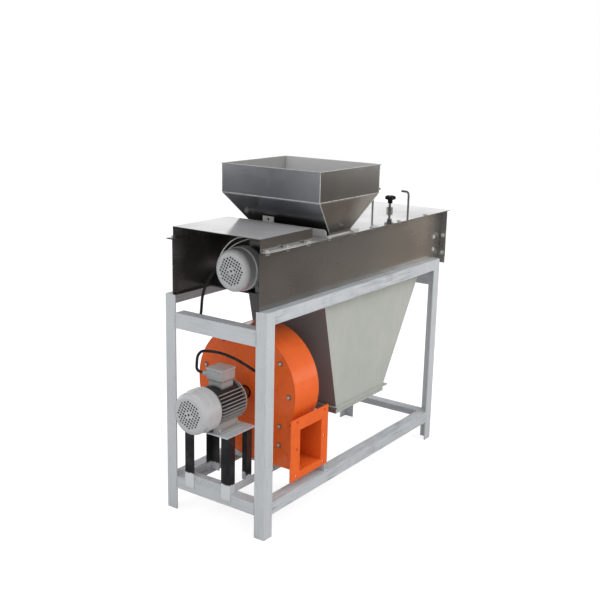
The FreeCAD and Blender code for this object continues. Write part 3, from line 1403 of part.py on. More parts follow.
def pieces():
    return frame() + [
        side_panel("side_panel_front", BODY_NEAR, 1), side_panel("side_panel_rear", BODY_FAR, -1),
        end_panel(), bulkhead(), motor_shelf(), deck_plate(), lid(), motor_cover(), bearing_plate(),
        discharge_chute(), gate_frame(), hopper(), slide_gate(), sieve_trough()] + roller() + [
        coupling(), bearing("bearing_motor_end", S.bulkhead_place, -1),
        bearing("bearing_outlet_end", BEARING_PLATE + S.plate_wall, 1), discharge_gate(),
        adjusting_screw(), screw_bush(), knob(), suction_hopper(), suction_tray(), inlet_collar(),
        fan_scroll(), fan_front_plate(), impeller()
    ] + motor("roller", S.roller_motor_place, MIDDLE, ROLLER_Z, (-1, 0, 0)) + motor(
        "blower", S.blower_motor_place, FAN_Y, S.fan_axis_z, (0, 1, 0)) + [
        motor_plate()] + stand_legs() + [blower_base()] + leads() + [
        body_bolts(), fan_bolts(), motor_bolts()]


PIECES = pieces()
# The shared origin: the bottom centre of the machine's bounding box
FIRST = S.blower_motor_place - S.motor_length
LAST = BODY_END + S.lip_reach
HOME = Vector(-(FIRST + LAST) / 2, -(SCROLL_Y + S.scroll_radius) / 2, 0)
for piece in PIECES:
    piece.Placement.Base = piece.Placement.Base + HOME
DOC.recompute()

for thing in DOC.Objects:
    if {"Invalid", "Error"} & set(thing.State):
        raise RuntimeError(f"{thing.Label} did not build: {thing.State}")
for piece in PIECES:
    if piece.Shape.isNull() or not piece.Shape.isValid():
        raise RuntimeError(f"{piece.Label} has no valid shape")

os.makedirs("parts", exist_ok=True)
for piece in PIECES:
    piece.Shape.exportStep(f"parts/{piece.Label}.step")
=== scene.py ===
"""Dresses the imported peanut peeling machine: finishes for its sheet steel, castings and paint, and the
small pieces that its solids leave out, such as weld beads, washers, screws and cable glands.

Lengths are metres in the machine's own frame: X runs towards the discharge end, Y across the machine
away from the blower's outlet, and Z up from the floor.
"""

import math

import bpy
import numpy as np
from bpy.props import FloatProperty, FloatVectorProperty, PointerProperty
from mathutils import Matrix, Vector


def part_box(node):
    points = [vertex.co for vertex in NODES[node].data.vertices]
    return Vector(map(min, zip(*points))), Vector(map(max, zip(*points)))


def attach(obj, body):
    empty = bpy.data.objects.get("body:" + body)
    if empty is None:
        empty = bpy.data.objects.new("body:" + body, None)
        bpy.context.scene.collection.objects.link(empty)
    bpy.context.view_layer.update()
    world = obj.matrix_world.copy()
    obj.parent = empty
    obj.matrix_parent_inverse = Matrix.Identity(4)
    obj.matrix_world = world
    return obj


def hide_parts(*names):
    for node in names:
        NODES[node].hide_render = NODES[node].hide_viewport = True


bl_info = {
    "name": "Peanut Peeler Dresser",
    "version": (1, 0, 0),
    "blender": (4, 5, 0),
    "location": "3D View > Sidebar > Peeler",
    "description": "Finishes and small pieces for a packed peanut peeling machine",
    "category": "Object",
}

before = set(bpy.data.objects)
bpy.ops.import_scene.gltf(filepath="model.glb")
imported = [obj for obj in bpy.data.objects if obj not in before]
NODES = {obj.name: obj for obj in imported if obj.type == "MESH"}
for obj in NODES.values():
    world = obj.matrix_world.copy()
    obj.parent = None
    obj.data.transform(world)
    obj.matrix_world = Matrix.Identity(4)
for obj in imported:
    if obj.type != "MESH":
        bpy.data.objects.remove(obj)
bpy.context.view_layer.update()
BASE = "base"

LONG_RAILS = ("top_rail_front", "top_rail_rear", "low_rail_front", "low_rail_rear")
END_RAILS = ("end_rail_motor_top", "end_rail_outlet_top", "end_rail_motor_low", "end_rail_outlet_low")
HOPPER_BAND = 0.095         # height of the hopper's upright band
SHEET = 0.0015              # thickness of the hopper's and the cover's sheet
BEAD_SIDES = 8
BEAD_RIPPLE = 0.18          # share of its radius by which a weld bead swells and shrinks
TIP = 0.02                  # share of its radius to which a turned or carried piece closes

FLOOR_HALF = 9.0
LAMPS = (("key", (0.6, -3.4, 3.2), 2.4, 1.0), ("fill", (-3.6, -0.6, 2.4), 2.2, 0.28),
         ("top", (0.2, 0.4, 4.2), 3.0, 0.8))    # name, place, side and share of the main lamp's power
LAMP_TARGET = (0, 0, 0.5)
CAMERA_PLACE = (-2.6695, -1.828, 1.435)
CAMERA_TURN, CAMERA_RISE, CAMERA_ROLL = -54.83, 13.98, 1.29     # degrees


# Settings that a user would change

class PeelerColours(bpy.types.PropertyGroup):
    """Colours of the machine's paint and metal, in linear light."""

    def colour(label, about, value):
        return FloatVectorProperty(name=label, description=about, subtype="COLOR", size=4, min=0.0, max=1.0,
                                   default=(*value, 1.0))

    frame_paint: colour("Frame paint", "Grey paint of the angle-iron frame", (0.60, 0.63, 0.66))
    frame_streak: colour("Frame streak", "Darker mill streaks that show through the frame's paint",
                         (0.34, 0.37, 0.38))
    sheet_light: colour("Sheet, light", "Light end of the rolled stainless sheet", (0.62, 0.61, 0.58))
    # Painted highlight along sheared edges
    edge: colour("Sheared edge", "Bright edges of cut and folded sheet", (0.86, 0.86, 0.84))
    sheet_dark: colour("Sheet, dark", "Dark end of the rolled stainless sheet", (0.43, 0.41, 0.38))
    suction_light: colour("Suction hopper", "Grey-green sheet of the suction hopper", (0.56, 0.58, 0.54))
    suction_dark: colour("Suction hopper, dark", "Darker clouds in the suction hopper's sheet",
                         (0.46, 0.48, 0.45))
    blower_paint: colour("Blower paint", "Orange paint of the blower", (0.86, 0.142, 0.022))
    blower_shade: colour("Blower shade", "Deeper orange where the paint lies thick", (0.80, 0.122, 0.018))
    motor_paint: colour("Motor paint", "Silver-grey paint of the motors' castings", (0.46, 0.47, 0.47))
    motor_dust: colour("Motor dust", "Pale dust on the motors' castings", (0.52, 0.52, 0.50))
    cowl_paint: colour("Cowl paint", "Light silver paint of the fan cowls", (0.66, 0.67, 0.69))
    box_lid: colour("Box lid", "Brighter paint of the terminal boxes' lids", (0.58, 0.59, 0.60))
    leg_paint: colour("Stand paint", "Near-black paint of the blower motor's stand", (0.018, 0.019, 0.021))
    bolt_metal: colour("Bolts", "Zinc-plated bolts and washers", (0.80, 0.79, 0.76))
    grit: colour("Roller grit", "Bonded grit on the peeling roller", (0.20, 0.17, 0.14))
    floor_near: colour("Floor, outlet side", "What polished metal sees on the outlet's side",
                       (0.25, 0.215, 0.19))
    floor_far: colour("Floor, motor side", "What polished metal sees behind the motors' end",
                      (0.13, 0.135, 0.155))
    plastic: colour("Black plastic", "Knob, glands and cable sheath", (0.012, 0.012, 0.013))


class PeelerSizes(bpy.types.PropertyGroup):
    """Sizes of the pieces that this file adds."""

    def length(label, about, value):
        return FloatProperty(name=label, description=about, default=value, min=0.0, unit="LENGTH")

    bead: length("Weld bead", "Half the width of a weld bead", 0.0022)
    seam: length("Ground seam", "Half the width of a ground weld on the hopper", 0.0013)
    # Width of a painted highlight line on a sheared edge
    edge: length("Sheared edge", "Half the width of the bright line on a sheared edge", 0.0009)
    bead_pitch: length("Weld ripple", "Distance between two ripples of a weld bead", 0.0035)
    washer: length("Washer", "Outside radius of a bolt's washer", 0.0085)
    washer_wall: length("Washer thickness", "Thickness of a bolt's washer", 0.0014)
    screw: length("Box screw", "Head radius of a terminal box's screw", 0.0032)
    lens: FloatProperty(name="Lens", description="Focal length of the camera", default=0.0572, min=0.01,
                        unit="CAMERA")
    lamp: FloatProperty(name="Lamp", description="Power of the main soft lamp", default=62.0, min=0.0,
                        unit="POWER")


class Tone:
    """Colours that have no setting of their own, in linear light. A pair is what a finish runs between."""

    worn_speck = (0.20, 0.19, 0.18, 1)
    worn_bead = (0.40, 0.42, 0.42, 1)
    # Painted shade and painted warm light along the long side sheets
    side_shade = (0.16, 0.155, 0.155, 1)
    side_warm_light = (1.0, 0.91, 0.76, 1)
    top_sheet = ((0.74, 0.74, 0.75, 1), (0.60, 0.60, 0.60, 1))
    cover_sheet = ((0.78, 0.78, 0.79, 1), (0.66, 0.66, 0.67, 1))
    # Painted shade on the cover's upright walls
    cover_wall_shade = (0.40, 0.385, 0.365, 1)
    gate_sheet = (0.80, 0.80, 0.79, 1)
    # Darker end of the painted edge highlight
    edge_highlight_dark = (0.62, 0.62, 0.60, 1)
    weld_dark = (0.50, 0.50, 0.48, 1)
    # Painted reflection on the hopper's side that faces the motors, and brighter towards its ends
    hopper_cool_reflection = ((0.66, 0.68, 0.73, 1), (0.34, 0.35, 0.39, 1))
    hopper_ends_reflection = (0.95, 0.96, 1.0, 1)
    hopper_shade = (0.20, 0.17, 0.15, 1)
    # Painted shade and painted light on the hopper's inside walls, by the side they face
    hopper_inside_light_and_shade = ((0.38, 0.38, 0.37, 1), (0.70, 0.70, 0.71, 1))
    spangle = ((0.30, 0.31, 0.31, 1), (0.66, 0.67, 0.66, 1))
    # Painted shade on the hopper's taper
    taper_painted_shade = (0.085, 0.080, 0.085, 1)
    # Painted dark reflection on the suction hopper's side that faces the blower
    suction_dark_reflection = (0.19, 0.195, 0.205, 1)
    impeller = ((0.42, 0.42, 0.42, 1), (0.25, 0.24, 0.23, 1))
    cowl_dust = (0.70, 0.70, 0.70, 1)
    # Painted shade in the motors' fin gaps and pockets
    recess_shade = (0.045, 0.045, 0.046, 1)
    rotor = ((0.03, 0.03, 0.03, 1), (0.012, 0.012, 0.012, 1))
    box_joint = (0.05, 0.05, 0.05, 1)
    screw_dark = (0.45, 0.44, 0.40, 1)
    bolt_dark = (0.62, 0.60, 0.55, 1)
    fan_washer = (0.30, 0.17, 0.12, 1)
    leg_dull = (0.07, 0.07, 0.07, 1)
    steel = ((0.56, 0.56, 0.55, 1), (0.40, 0.39, 0.38, 1))
    bearing = ((0.09, 0.11, 0.12, 1), (0.05, 0.06, 0.07, 1))
    grit_bond = (0.07, 0.06, 0.05, 1)
    # Painted shade seen through the sieve's holes
    sieve_hole_shade = (0.01, 0.01, 0.01, 1)
    cable_sheen = (0.03, 0.03, 0.03, 1)
    cable_white = ((0.80, 0.80, 0.78, 1), (0.68, 0.68, 0.64, 1))
    knob_sheen = (0.025, 0.025, 0.027, 1)
    floor_plain = (0.72, 0.71, 0.70, 1)
    floor_faint = (0.30, 0.30, 0.30, 1)
    white = (1, 1, 1, 1)


# Making meshes from arrays

def many(grids, closed):
    """The points and faces of several grids of one shape (rows, columns, 3). A closed direction joins
    its last row or column to its first."""
    grids = np.asarray(grids)
    count, rows, columns = grids.shape[:3]
    row = np.arange(rows if closed[0] else rows - 1)
    column = np.arange(columns if closed[1] else columns - 1)
    n, r, c = np.meshgrid(np.arange(count), row, column, indexing="ij")
    right, below = (c + 1) % columns, (r + 1) % rows
    corners = ((r, c), (r, right), (below, right), (below, c))
    faces = np.stack([(n * rows + row) * columns + column for row, column in corners], -1)
    return grids.reshape(-1, 3), faces.reshape(-1, 4)


def surface_mesh(name, grid, closed=(False, False)):
    """A mesh of quads through one grid of points."""
    return points_mesh(name, *many([grid], closed))


def points_mesh(name, points, faces):
    """A mesh of quads or triangles from an array of points and an array of their numbers."""
    mesh = bpy.data.meshes.new(name)
    mesh.vertices.add(len(points))
    mesh.vertices.foreach_set("co", np.asarray(points, np.float32).ravel())
    corners = faces.shape[1]
    mesh.loops.add(faces.size)
    mesh.loops.foreach_set("vertex_index", faces.astype(np.int32).ravel())
    mesh.polygons.add(len(faces))
    mesh.polygons.foreach_set("loop_start", np.arange(len(faces), dtype=np.int32) * corners)
    mesh.update(calc_edges=True)
    mesh.validate()
    mesh.shade_smooth()
    return mesh


def shown(name, mesh, material, body=BASE):
    """Puts a mesh into the scene as a piece that rides on a body and takes a slot's finish."""
    mesh.materials.append(material)
    piece = bpy.data.objects.new(name, mesh)
    bpy.context.scene.collection.objects.link(piece)
    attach(piece, body)
    return piece


def across(axis):
    """Two unit vectors square to an axis and to each other."""
    axis = np.asarray(axis, float)
    axis = axis / np.linalg.norm(axis)
    helper = np.eye(3)[np.argmin(np.abs(axis))]
    side = np.cross(axis, helper)
    side = side / np.linalg.norm(side)
    return side, np.cross(axis, side)


def lathed(profile, axis, place, steps):
    """A profile of (distance along the axis, radius) pairs, turned about the axis through a place:
    place + along * axis + radius * (cos a * side + sin a * up)."""
    profile = np.asarray(profile, float)
    axis = np.asarray(axis, float)
    side, up = across(axis)
    angle = np.linspace(0, 2 * math.pi, steps, endpoint=False)[None, :, None]
    along, radius = profile[:, 0, None, None], profile[:, 1, None, None]
    return np.asarray(place, float) + along * axis + radius * (np.cos(angle) * side + np.sin(angle) * up)


def carried(path, radius, ripple, pitch, normal=None):
    """A bead along a run. Its ring at length s has the radius radius * (1 + ripple * sin(2 pi s / pitch)),
    and its two ends close to a point. A curved run lies in a plane: its rings stand on the plane's
    normal and on the path's direction times that normal."""
    path = np.asarray(path, float)
    run = np.linalg.norm(np.diff(path, axis=0), axis=1)
    length = np.concatenate([[0], np.cumsum(run)])
    count = max(3, int(length[-1] / (pitch / 4)) + 1) if ripple else 3
    s = np.linspace(0, length[-1], count)
    centre = np.stack([np.interp(s, length, path[:, i]) for i in range(3)], -1)
    if normal is None:
        side, up = across(path[-1] - path[0])
    else:
        along = np.gradient(centre, axis=0)
        along /= np.linalg.norm(along, axis=1)[:, None]
        side = np.asarray(normal, float)
        up = np.cross(along, side)[:, None, :]
    ring = radius * (1 + ripple * np.sin(2 * math.pi * s / pitch))
    ring[0] = ring[-1] = radius * TIP
    angle = np.linspace(0, 2 * math.pi, BEAD_SIDES, endpoint=False)
    spokes = np.cos(angle)[:, None] * side + np.sin(angle)[:, None] * up
    return centre[:, None, :] + ring[:, None, None] * spokes


def joined(pieces):
    """Several (points, faces) pairs as one pair."""
    start = np.cumsum([0] + [len(points) for points, _ in pieces])
    points = np.concatenate([points for points, _ in pieces])
    faces = np.concatenate([faces + first for first, (_, faces) in zip(start, pieces)])
    return points, faces


def beads(name, runs, size, material, ripple=BEAD_RIPPLE, normal=None):
    """Weld beads along several runs, or plain ground edges without a ripple, as one piece."""
    grids = [carried(run, size, ripple, sizes().bead_pitch, normal) for run in runs]
    points, faces = joined([many([grid], (False, True)) for grid in grids])
    return shown(name, points_mesh(name, points, faces[:, ::-1]), material)


def sizes():
    """The scene's own sizes."""
    return bpy.context.scene.peeler_sizes


def colours():
    """The scene's own colours."""
    return bpy.context.scene.peeler_colours


# Making finishes from nodes

STRETCH = {"X": (0.06, 1, 1), "Y": (1, 0.06, 1), "Z": (1, 1, 0.06)}
MIX_SOCKETS = {"RGBA": (6, 7, 2), "FLOAT": (2, 3, 0)}       # first input, second input, output


def new_finish(name):
    """A new material, its node tree and its shader."""
    material = bpy.data.materials.new(name)
    material.use_nodes = True
    return material, material.node_tree, material.node_tree.nodes["Principled BSDF"]


def join(tree, socket, value):
    """Fills a socket with another node's output or with a plain value."""
    if isinstance(value, bpy.types.NodeSocket):
        tree.links.new(value, socket)
    else:
        socket.default_value = value


def fill(tree, shader, **values):
    """Fills the shader's sockets, by their names in lower case: base_color, metallic and others."""
    for name, value in values.items():
        join(tree, shader.inputs[name.replace("_", " ").title()], value)


def add(tree, kind, inputs=None, **settings):
    """Adds a node, sets its options and fills its inputs."""
    made = tree.nodes.new("ShaderNode" + kind)
    for name, value in settings.items():
        setattr(made, name, value)
    for name, value in (inputs or {}).items():
        join(tree, made.inputs[name], value)
    return made


def place_on(tree, stretch=(1, 1, 1)):
    """Object coordinates, stretched by a factor along each axis."""
    coordinates = add(tree, "TexCoord").outputs["Object"]
    return add(tree, "Mapping", {"Vector": coordinates, "Scale": stretch}).outputs["Vector"]


def cloud(tree, size, stretch=(1, 1, 1), detail=3.0):
    """Noise whose clouds are about the given size in metres."""
    return add(tree, "TexNoise", {"Vector": place_on(tree, stretch), "Scale": 1 / size, "Detail": detail,
                                  "Roughness": 0.55}).outputs["Fac"]


def ramp(tree, value, low, high, start=0.0, end=1.0):
    """A value mapped from one range to another and clamped there."""
    return add(tree, "MapRange", {"Value": value, "From Min": low, "From Max": high, "To Min": start,
                                  "To Max": end}).outputs["Result"]


def mixed(tree, share, first, second, kind="RGBA"):
    """One colour, or one value of the kind FLOAT, turning into another as the share goes from 0 to 1."""
    start, end, result = MIX_SOCKETS[kind]
    return add(tree, "Mix", {0: share, start: first, end: second}, data_type=kind).outputs[result]


def reckon(tree, kind, first, second=0.0):
    """Arithmetic on two values."""
    return add(tree, "Math", {0: first, 1: second}, operation=kind).outputs["Value"]


def product(tree, first, *others):
    """Several values times each other."""
    for other in others:
        first = reckon(tree, "MULTIPLY", first, other)
    return first


def apart(tree, first, second):
    """How far two values are apart."""
    return reckon(tree, "ABSOLUTE", reckon(tree, "SUBTRACT", first, second))


def distance(tree, u, v):
    """The length of a vector (u, v)."""
    return reckon(tree, "SQRT", reckon(tree, "ADD", product(tree, u, u), product(tree, v, v)))


def between(tree, value, rise, fall):
    """A share that rises from 0 to 1 across the first pair of values and falls again across the second."""
    return product(tree, ramp(tree, value, *rise), ramp(tree, value, *fall, 1.0, 0.0))


def relief(tree, shader, height, strength, deepest):
    """Bumps on the shader's surface, at most so many metres deep."""
    bump = add(tree, "Bump", {"Height": height, "Strength": strength, "Distance": deepest})
    join(tree, shader.inputs["Normal"], bump.outputs["Normal"])


def coordinate(tree, axis):
    """One object coordinate."""
    return add(tree, "SeparateXYZ", {"Vector": add(tree, "TexCoord").outputs["Object"]}).outputs[axis]


def facing(tree, axis):
    """One coordinate of the surface's normal."""
    return add(tree, "SeparateXYZ", {"Vector": add(tree, "NewGeometry").outputs["Normal"]}).outputs[axis]


def sheared(tree):
    """How near a point lies to a sharp edge, from 0 to 1: how far a rounded normal leans from the
    real one."""
    width = 0.0016
    rounded = add(tree, "Bevel", {"Radius": width}, samples=4).outputs["Normal"]
    flat = add(tree, "NewGeometry").outputs["True Normal"]
    lean = add(tree, "VectorMath", {0: rounded, 1: flat}, operation="DOT_PRODUCT").outputs["Value"]
    return ramp(tree, lean, 0.985, 0.90)


def frame_paint(axis, worn=1.0):
    """Thin grey paint over angle iron, with the mill's streaks along the bar and a few worn specks."""
    material, tree, shader = new_finish(f"frame_paint_{axis.lower()}")
    streak = cloud(tree, 0.006, STRETCH[axis], detail=5)
    patch = cloud(tree, 0.11, detail=2)
    share = product(tree, ramp(tree, streak, 0.42, 0.68, 0.0, worn), ramp(tree, patch, 0.35, 0.62))
    colour = mixed(tree, share, colours().frame_paint, colours().frame_streak)
    speck = ramp(tree, cloud(tree, 0.0035, detail=1), 0.70, 0.76)
    fill(tree, shader, base_color=mixed(tree, speck, colour, Tone.worn_speck),
         roughness=ramp(tree, patch, 0.3, 0.7, 0.30, 0.46), metallic=0.15, coat_weight=0.25)
    relief(tree, shader, streak, 0.12, 0.0006)
    return material


def rolled_sheet(name, axis, light, dark, roughness=(0.16, 0.34), metal=0.92, upright=None, painted_light_along_x=False):
    """Rolled stainless sheet: fine lines along the rolling direction and wide clouds of tone and gloss.
    Upright faces may take a tone of their own, which paints shade on them, and a long sheet painted shade
    at its -X end and painted warm light near its +X end."""
    material, tree, shader = new_finish(name)
    line = cloud(tree, 0.012, STRETCH[axis], detail=1)
    share = mixed(tree, 0.85, line, cloud(tree, 0.2, detail=1), "FLOAT")
    tone = mixed(tree, ramp(tree, share, 0.36, 0.66), light, dark)
    if painted_light_along_x:
        # Painted shade towards the -X end and painted warm light near the +X end.
        along = coordinate(tree, "X")
        tone = mixed(tree, ramp(tree, along, -0.50, 0.10, 0.62, 0.0), tone, Tone.side_shade)
        warm_light = product(tree, ramp(tree, along, 0.05, 0.45, 0.0, 0.55),
                       ramp(tree, along, 0.47, 0.58, 1.0, 0.0))
        tone = mixed(tree, warm_light, tone, Tone.side_warm_light)
    if upright:
        # Upright faces take their own darker tone: painted shade.
        wall = ramp(tree, facing(tree, "Z"), 0.3, 0.6, 1.0, 0.0)
        tone = mixed(tree, wall, tone, upright)
        metal = ramp(tree, wall, 0.0, 1.0, metal, 0.92)
    fill(tree, shader, base_color=tone, metallic=metal, roughness=ramp(tree, share, 0.3, 0.7, *roughness))
    return material


def hopper_sheet():
    """The hopper's sheet: a painted cool reflection on the side that faces the motors, brighter towards its
    ends, painted highlights on its sharp edges, a fine spangle on its upright band, painted shade on the
    motors' side of its taper that deepens towards its foot, painted shade on the side that faces -Y,
    deepest at the -X end, less metal on that side's taper towards +X, which paints it lighter, and duller
    walls inside, with painted shade on those that face +X and painted light on those that face -X."""
    material, tree, shader = new_finish("hopper_sheet")
    low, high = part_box("hopper")
    middle, half = (low + high) / 2, (high - low) / 2
    joint, rim, soft = high.z - HOPPER_BAND, 0.0045, 0.0006
    x, y, z = (coordinate(tree, axis) for axis in "XYZ")
    facing_x, facing_y = facing(tree, "X"), facing(tree, "Y")
    far_x, far_y = apart(tree, x, middle.x), apart(tree, y, middle.y)
    # Faces towards -X take a painted cool reflection.
    painted_light_side = ramp(tree, facing_x, -0.7, -0.4, 1.0, 0.0)
    band = ramp(tree, z, joint - 0.007, joint + 0.003)
    taper = ramp(tree, z, joint - 0.007, joint + 0.001, 1.0, 0.0)

    haze = cloud(tree, 0.14, detail=2)
    light = mixed(tree, painted_light_side, colours().sheet_light, Tone.hopper_cool_reflection[0])
    dark = mixed(tree, painted_light_side, colours().sheet_dark, Tone.hopper_cool_reflection[1])
    tone = mixed(tree, ramp(tree, haze, 0.34, 0.62), light, dark)
    # Painted reflection, brighter towards the ends of the side that faces the motors.
    ends = product(tree, painted_light_side, ramp(tree, far_y, 0.04, 0.19, 0.0, 0.75))
    tone = mixed(tree, ends, tone, Tone.hopper_ends_reflection)
    grain = add(tree, "TexVoronoi", {"Vector": place_on(tree), "Scale": 260.0, "Randomness": 1.0})
    spangle = add(tree, "SeparateColor", {"Color": grain.outputs["Color"]}).outputs[0]
    tone = mixed(tree, product(tree, band, 0.22), tone, mixed(tree, spangle, *Tone.spangle))

    # Painted shade on the taper's side that faces the motors, deepest towards its foot.
    taper_shade_share = product(tree, taper, ramp(tree, facing_x, -0.55, -0.35, 0.86, 0.0),
                       ramp(tree, z, joint - 0.089, joint - 0.011, 1.0, 0.10))
    tone = mixed(tree, taper_shade_share, tone, Tone.taper_painted_shade)
    shade = product(tree, ramp(tree, facing_y, -0.7, -0.4, 1.0, 0.0),
                    ramp(tree, x, low.x, high.x, 0.42, 0.0))
    tone = mixed(tree, shade, tone, Tone.hopper_shade)
    # Inside walls are duller, with a dark tone on walls that face +X and a light one on walls that face -X:
    # painted shade and light.
    inside = product(tree, ramp(tree, far_x, half.x - rim - soft, half.x - rim, 1.0, 0.0),
                     ramp(tree, far_y, half.y - rim - soft, half.y - rim, 1.0, 0.0), band)
    tone = mixed(tree, inside, tone, mixed(tree, painted_light_side, *Tone.hopper_inside_light_and_shade))

    # Less metal on the taper's -Y side, more towards +X, so that side turns lighter there: painted light.
    worn = product(tree, taper, ramp(tree, facing_y, -0.6, -0.3, 1.0, 0.0),
                   ramp(tree, x, middle.x, high.x, 0.0, 0.32))
    metal = reckon(tree, "SUBTRACT", ramp(tree, inside, 0.0, 1.0, 0.92, 0.25), worn)
    rough = reckon(tree, "ADD", ramp(tree, haze, 0.3, 0.7, 0.10, 0.22), product(tree, inside, 0.30))
    # Painted highlight on sharp edges.
    fill(tree, shader, base_color=mixed(tree, sheared(tree), tone, colours().edge), metallic=metal,
         roughness=rough)
    fine = product(tree, spangle, band, 0.06)
    relief(tree, shader, reckon(tree, "ADD", fine, cloud(tree, 0.2, detail=1)), 0.25, 0.0016)
    return material


def glossy_paint(name, light, dark, size=0.05, roughness=0.22, coat=0.6, orange_peel=0.10):
    """Sprayed gloss paint: slow changes of depth and a fine uneven skin."""
    material, tree, shader = new_finish(name)
    depth = cloud(tree, size, detail=4)
    fill(tree, shader, base_color=mixed(tree, ramp(tree, depth, 0.38, 0.70), light, dark),
         roughness=ramp(tree, depth, 0.3, 0.7, roughness, roughness + 0.10),
         coat_weight=coat, coat_roughness=0.08)
    relief(tree, shader, cloud(tree, 0.006, detail=2), orange_peel, 0.0006)
    return material


def cast_paint(name, paint, dust, roughness=0.38, shade=None):
    """Silver-grey paint on a casting: grainy skin, with dust lying on what faces up. A housing is shaded
    as motor_shade says, from its axis and the place of its drive-end face."""
    material, tree, shader = new_finish(name)
    patch = cloud(tree, 0.03, detail=4)
    lying = product(tree, ramp(tree, facing(tree, "Z"), 0.2, 0.95, 0.0, 0.55),
                    ramp(tree, patch, 0.35, 0.65))
    tone = mixed(tree, ramp(tree, patch, 0.3, 0.7, 0.0, 0.5), paint, dust)
    tone = mixed(tree, lying, tone, dust)
    if shade:
        # Painted shade in the fin gaps and the shield's pockets.
        tone = mixed(tree, motor_shade(tree, *shade), tone, Tone.recess_shade)
    fill(tree, shader, base_color=tone, metallic=0.35,
         roughness=ramp(tree, patch, 0.3, 0.7, roughness, roughness + 0.14))
    relief(tree, shader, cloud(tree, 0.0016, detail=2), 0.22, 0.0005)
    return material


def motor_shade(tree, axis_y, axis_z, face):
    """Share of painted shade on a motor's housing: the gaps between its fins, deeper towards their roots,
    and a ring of pockets in its drive-end shield, dark where |fraction(pockets * angle / (2 pi)) - 0.5| is
    small."""
    pockets = 8
    fin_start, fin_end = (0.0135, 0.0145), (0.129, 0.131)
    fin_depth = (0.0565, 0.0655)
    ring_start, ring_end = (0.036, 0.039), (0.058, 0.061)
    shield_end = (0.012, 0.0128)
    y = reckon(tree, "SUBTRACT", coordinate(tree, "Y"), axis_y)
    z = reckon(tree, "SUBTRACT", coordinate(tree, "Z"), axis_z)
    back = reckon(tree, "SUBTRACT", face, coordinate(tree, "X"))
    radius = distance(tree, y, z)
    gap = product(tree, between(tree, back, fin_start, fin_end), ramp(tree, radius, *fin_depth, 1.0, 0.0))
    turns = product(tree, reckon(tree, "ARCTAN2", y, z), pockets / (2 * math.pi))
    wave = apart(tree, reckon(tree, "FRACT", reckon(tree, "ADD", turns, pockets)), 0.5)
    pocket = product(tree, ramp(tree, wave, 0.30, 0.36, 1.0, 0.0),
                     between(tree, radius, ring_start, ring_end), ramp(tree, back, *shield_end, 1.0, 0.0))
    return reckon(tree, "MAXIMUM", gap, pocket)


def box_paint(name, paint, bright, base, lid):
    """A terminal box: mid-grey sides, a brighter lid, a dark joint under the lid's lip and a dark foot."""
    material, tree, shader = new_finish(name)
    gap, soft = 0.0014, 0.0002
    height = coordinate(tree, "Z")
    patch = cloud(tree, 0.02, detail=4)
    side = mixed(tree, ramp(tree, patch, 0.3, 0.7, 0.0, 0.6), paint, bright)
    tone = mixed(tree, ramp(tree, height, lid - soft, lid + soft), side, bright)
    joint = between(tree, height, (lid - gap - soft, lid - gap + soft), (lid - soft, lid + soft))
    foot = ramp(tree, height, base, base + 0.006, 0.7, 0.0)
    fill(tree, shader, base_color=mixed(tree, reckon(tree, "MAXIMUM", joint, foot), tone, Tone.box_joint),
         roughness=ramp(tree, patch, 0.3, 0.7, 0.30, 0.42), metallic=0.35)
    relief(tree, shader, cloud(tree, 0.0016, detail=2), 0.18, 0.0005)
    return material


def leg_paint():
    """Near-black paint of the stand's legs, with their lower ends brushed over in the frame's grey."""
    material, tree, shader = new_finish("leg_paint")
    brushed = (0.152, 0.156)
    ragged = reckon(tree, "ADD", coordinate(tree, "Z"), product(tree, cloud(tree, 0.012), 0.016))
    dull = mixed(tree, ramp(tree, cloud(tree, 0.04, detail=4), 0.45, 0.75, 0, 0.5), colours().leg_paint,
                 Tone.leg_dull)
    foot = ramp(tree, ragged, *brushed, 1.0, 0.0)
    fill(tree, shader, base_color=mixed(tree, foot, dull, colours().frame_paint), roughness=0.28,
         coat_weight=0.3)
    relief(tree, shader, cloud(tree, 0.004), 0.15, 0.0006)
    return material


def bead_paint():
    """Paint over weld beads: the frame's grey, a little brighter where it is worn."""
    material, tree, shader = new_finish("bead_paint")
    worn = ramp(tree, cloud(tree, 0.004), 0.4, 0.7)
    fill(tree, shader, base_color=mixed(tree, worn, colours().frame_paint, Tone.worn_bead),
         roughness=0.42, metallic=0.2)
    return material


def suction_paint():
    """Thin pale paint on the suction hopper's sheet: faint upright streaks, and a painted dark reflection
    on the side that faces the blower."""
    material, tree, shader = new_finish("suction_sheet")
    # Faces towards -X take a dark tone: painted dark reflection.
    dark_reflection_side = ramp(tree, facing(tree, "X"), -0.75, -0.5, 1.0, 0.0)
    streak = cloud(tree, 0.012, STRETCH["Z"], detail=3)
    share = mixed(tree, 0.7, streak, cloud(tree, 0.12, detail=3), "FLOAT")
    tone = mixed(tree, ramp(tree, share, 0.36, 0.66, 0.0, 0.6), colours().suction_light,
                 colours().suction_dark)
    fill(tree, shader, base_color=mixed(tree, dark_reflection_side, tone, Tone.suction_dark_reflection), metallic=0.25,
         roughness=ramp(tree, share, 0.3, 0.7, 0.34, 0.46))
    relief(tree, shader, share, 0.2, 0.0012)
    return material


def plain_metal(name, light, dark, size=0.008, roughness=(0.22, 0.40), metal=1.0):
    """Machined or plated metal with small clouds of tone."""
    material, tree, shader = new_finish(name)
    tone = cloud(tree, size, detail=4)
    fill(tree, shader, base_color=mixed(tree, ramp(tree, tone, 0.35, 0.7), light, dark), metallic=metal,
         roughness=ramp(tree, tone, 0.3, 0.7, *roughness))
    relief(tree, shader, tone, 0.10, 0.0004)
    return material


def zinc(name, light, dark, size=0.004):
    """Dull zinc plating on bolts and washers."""
    return plain_metal(name, light, dark, size, (0.25, 0.4), 0.35)


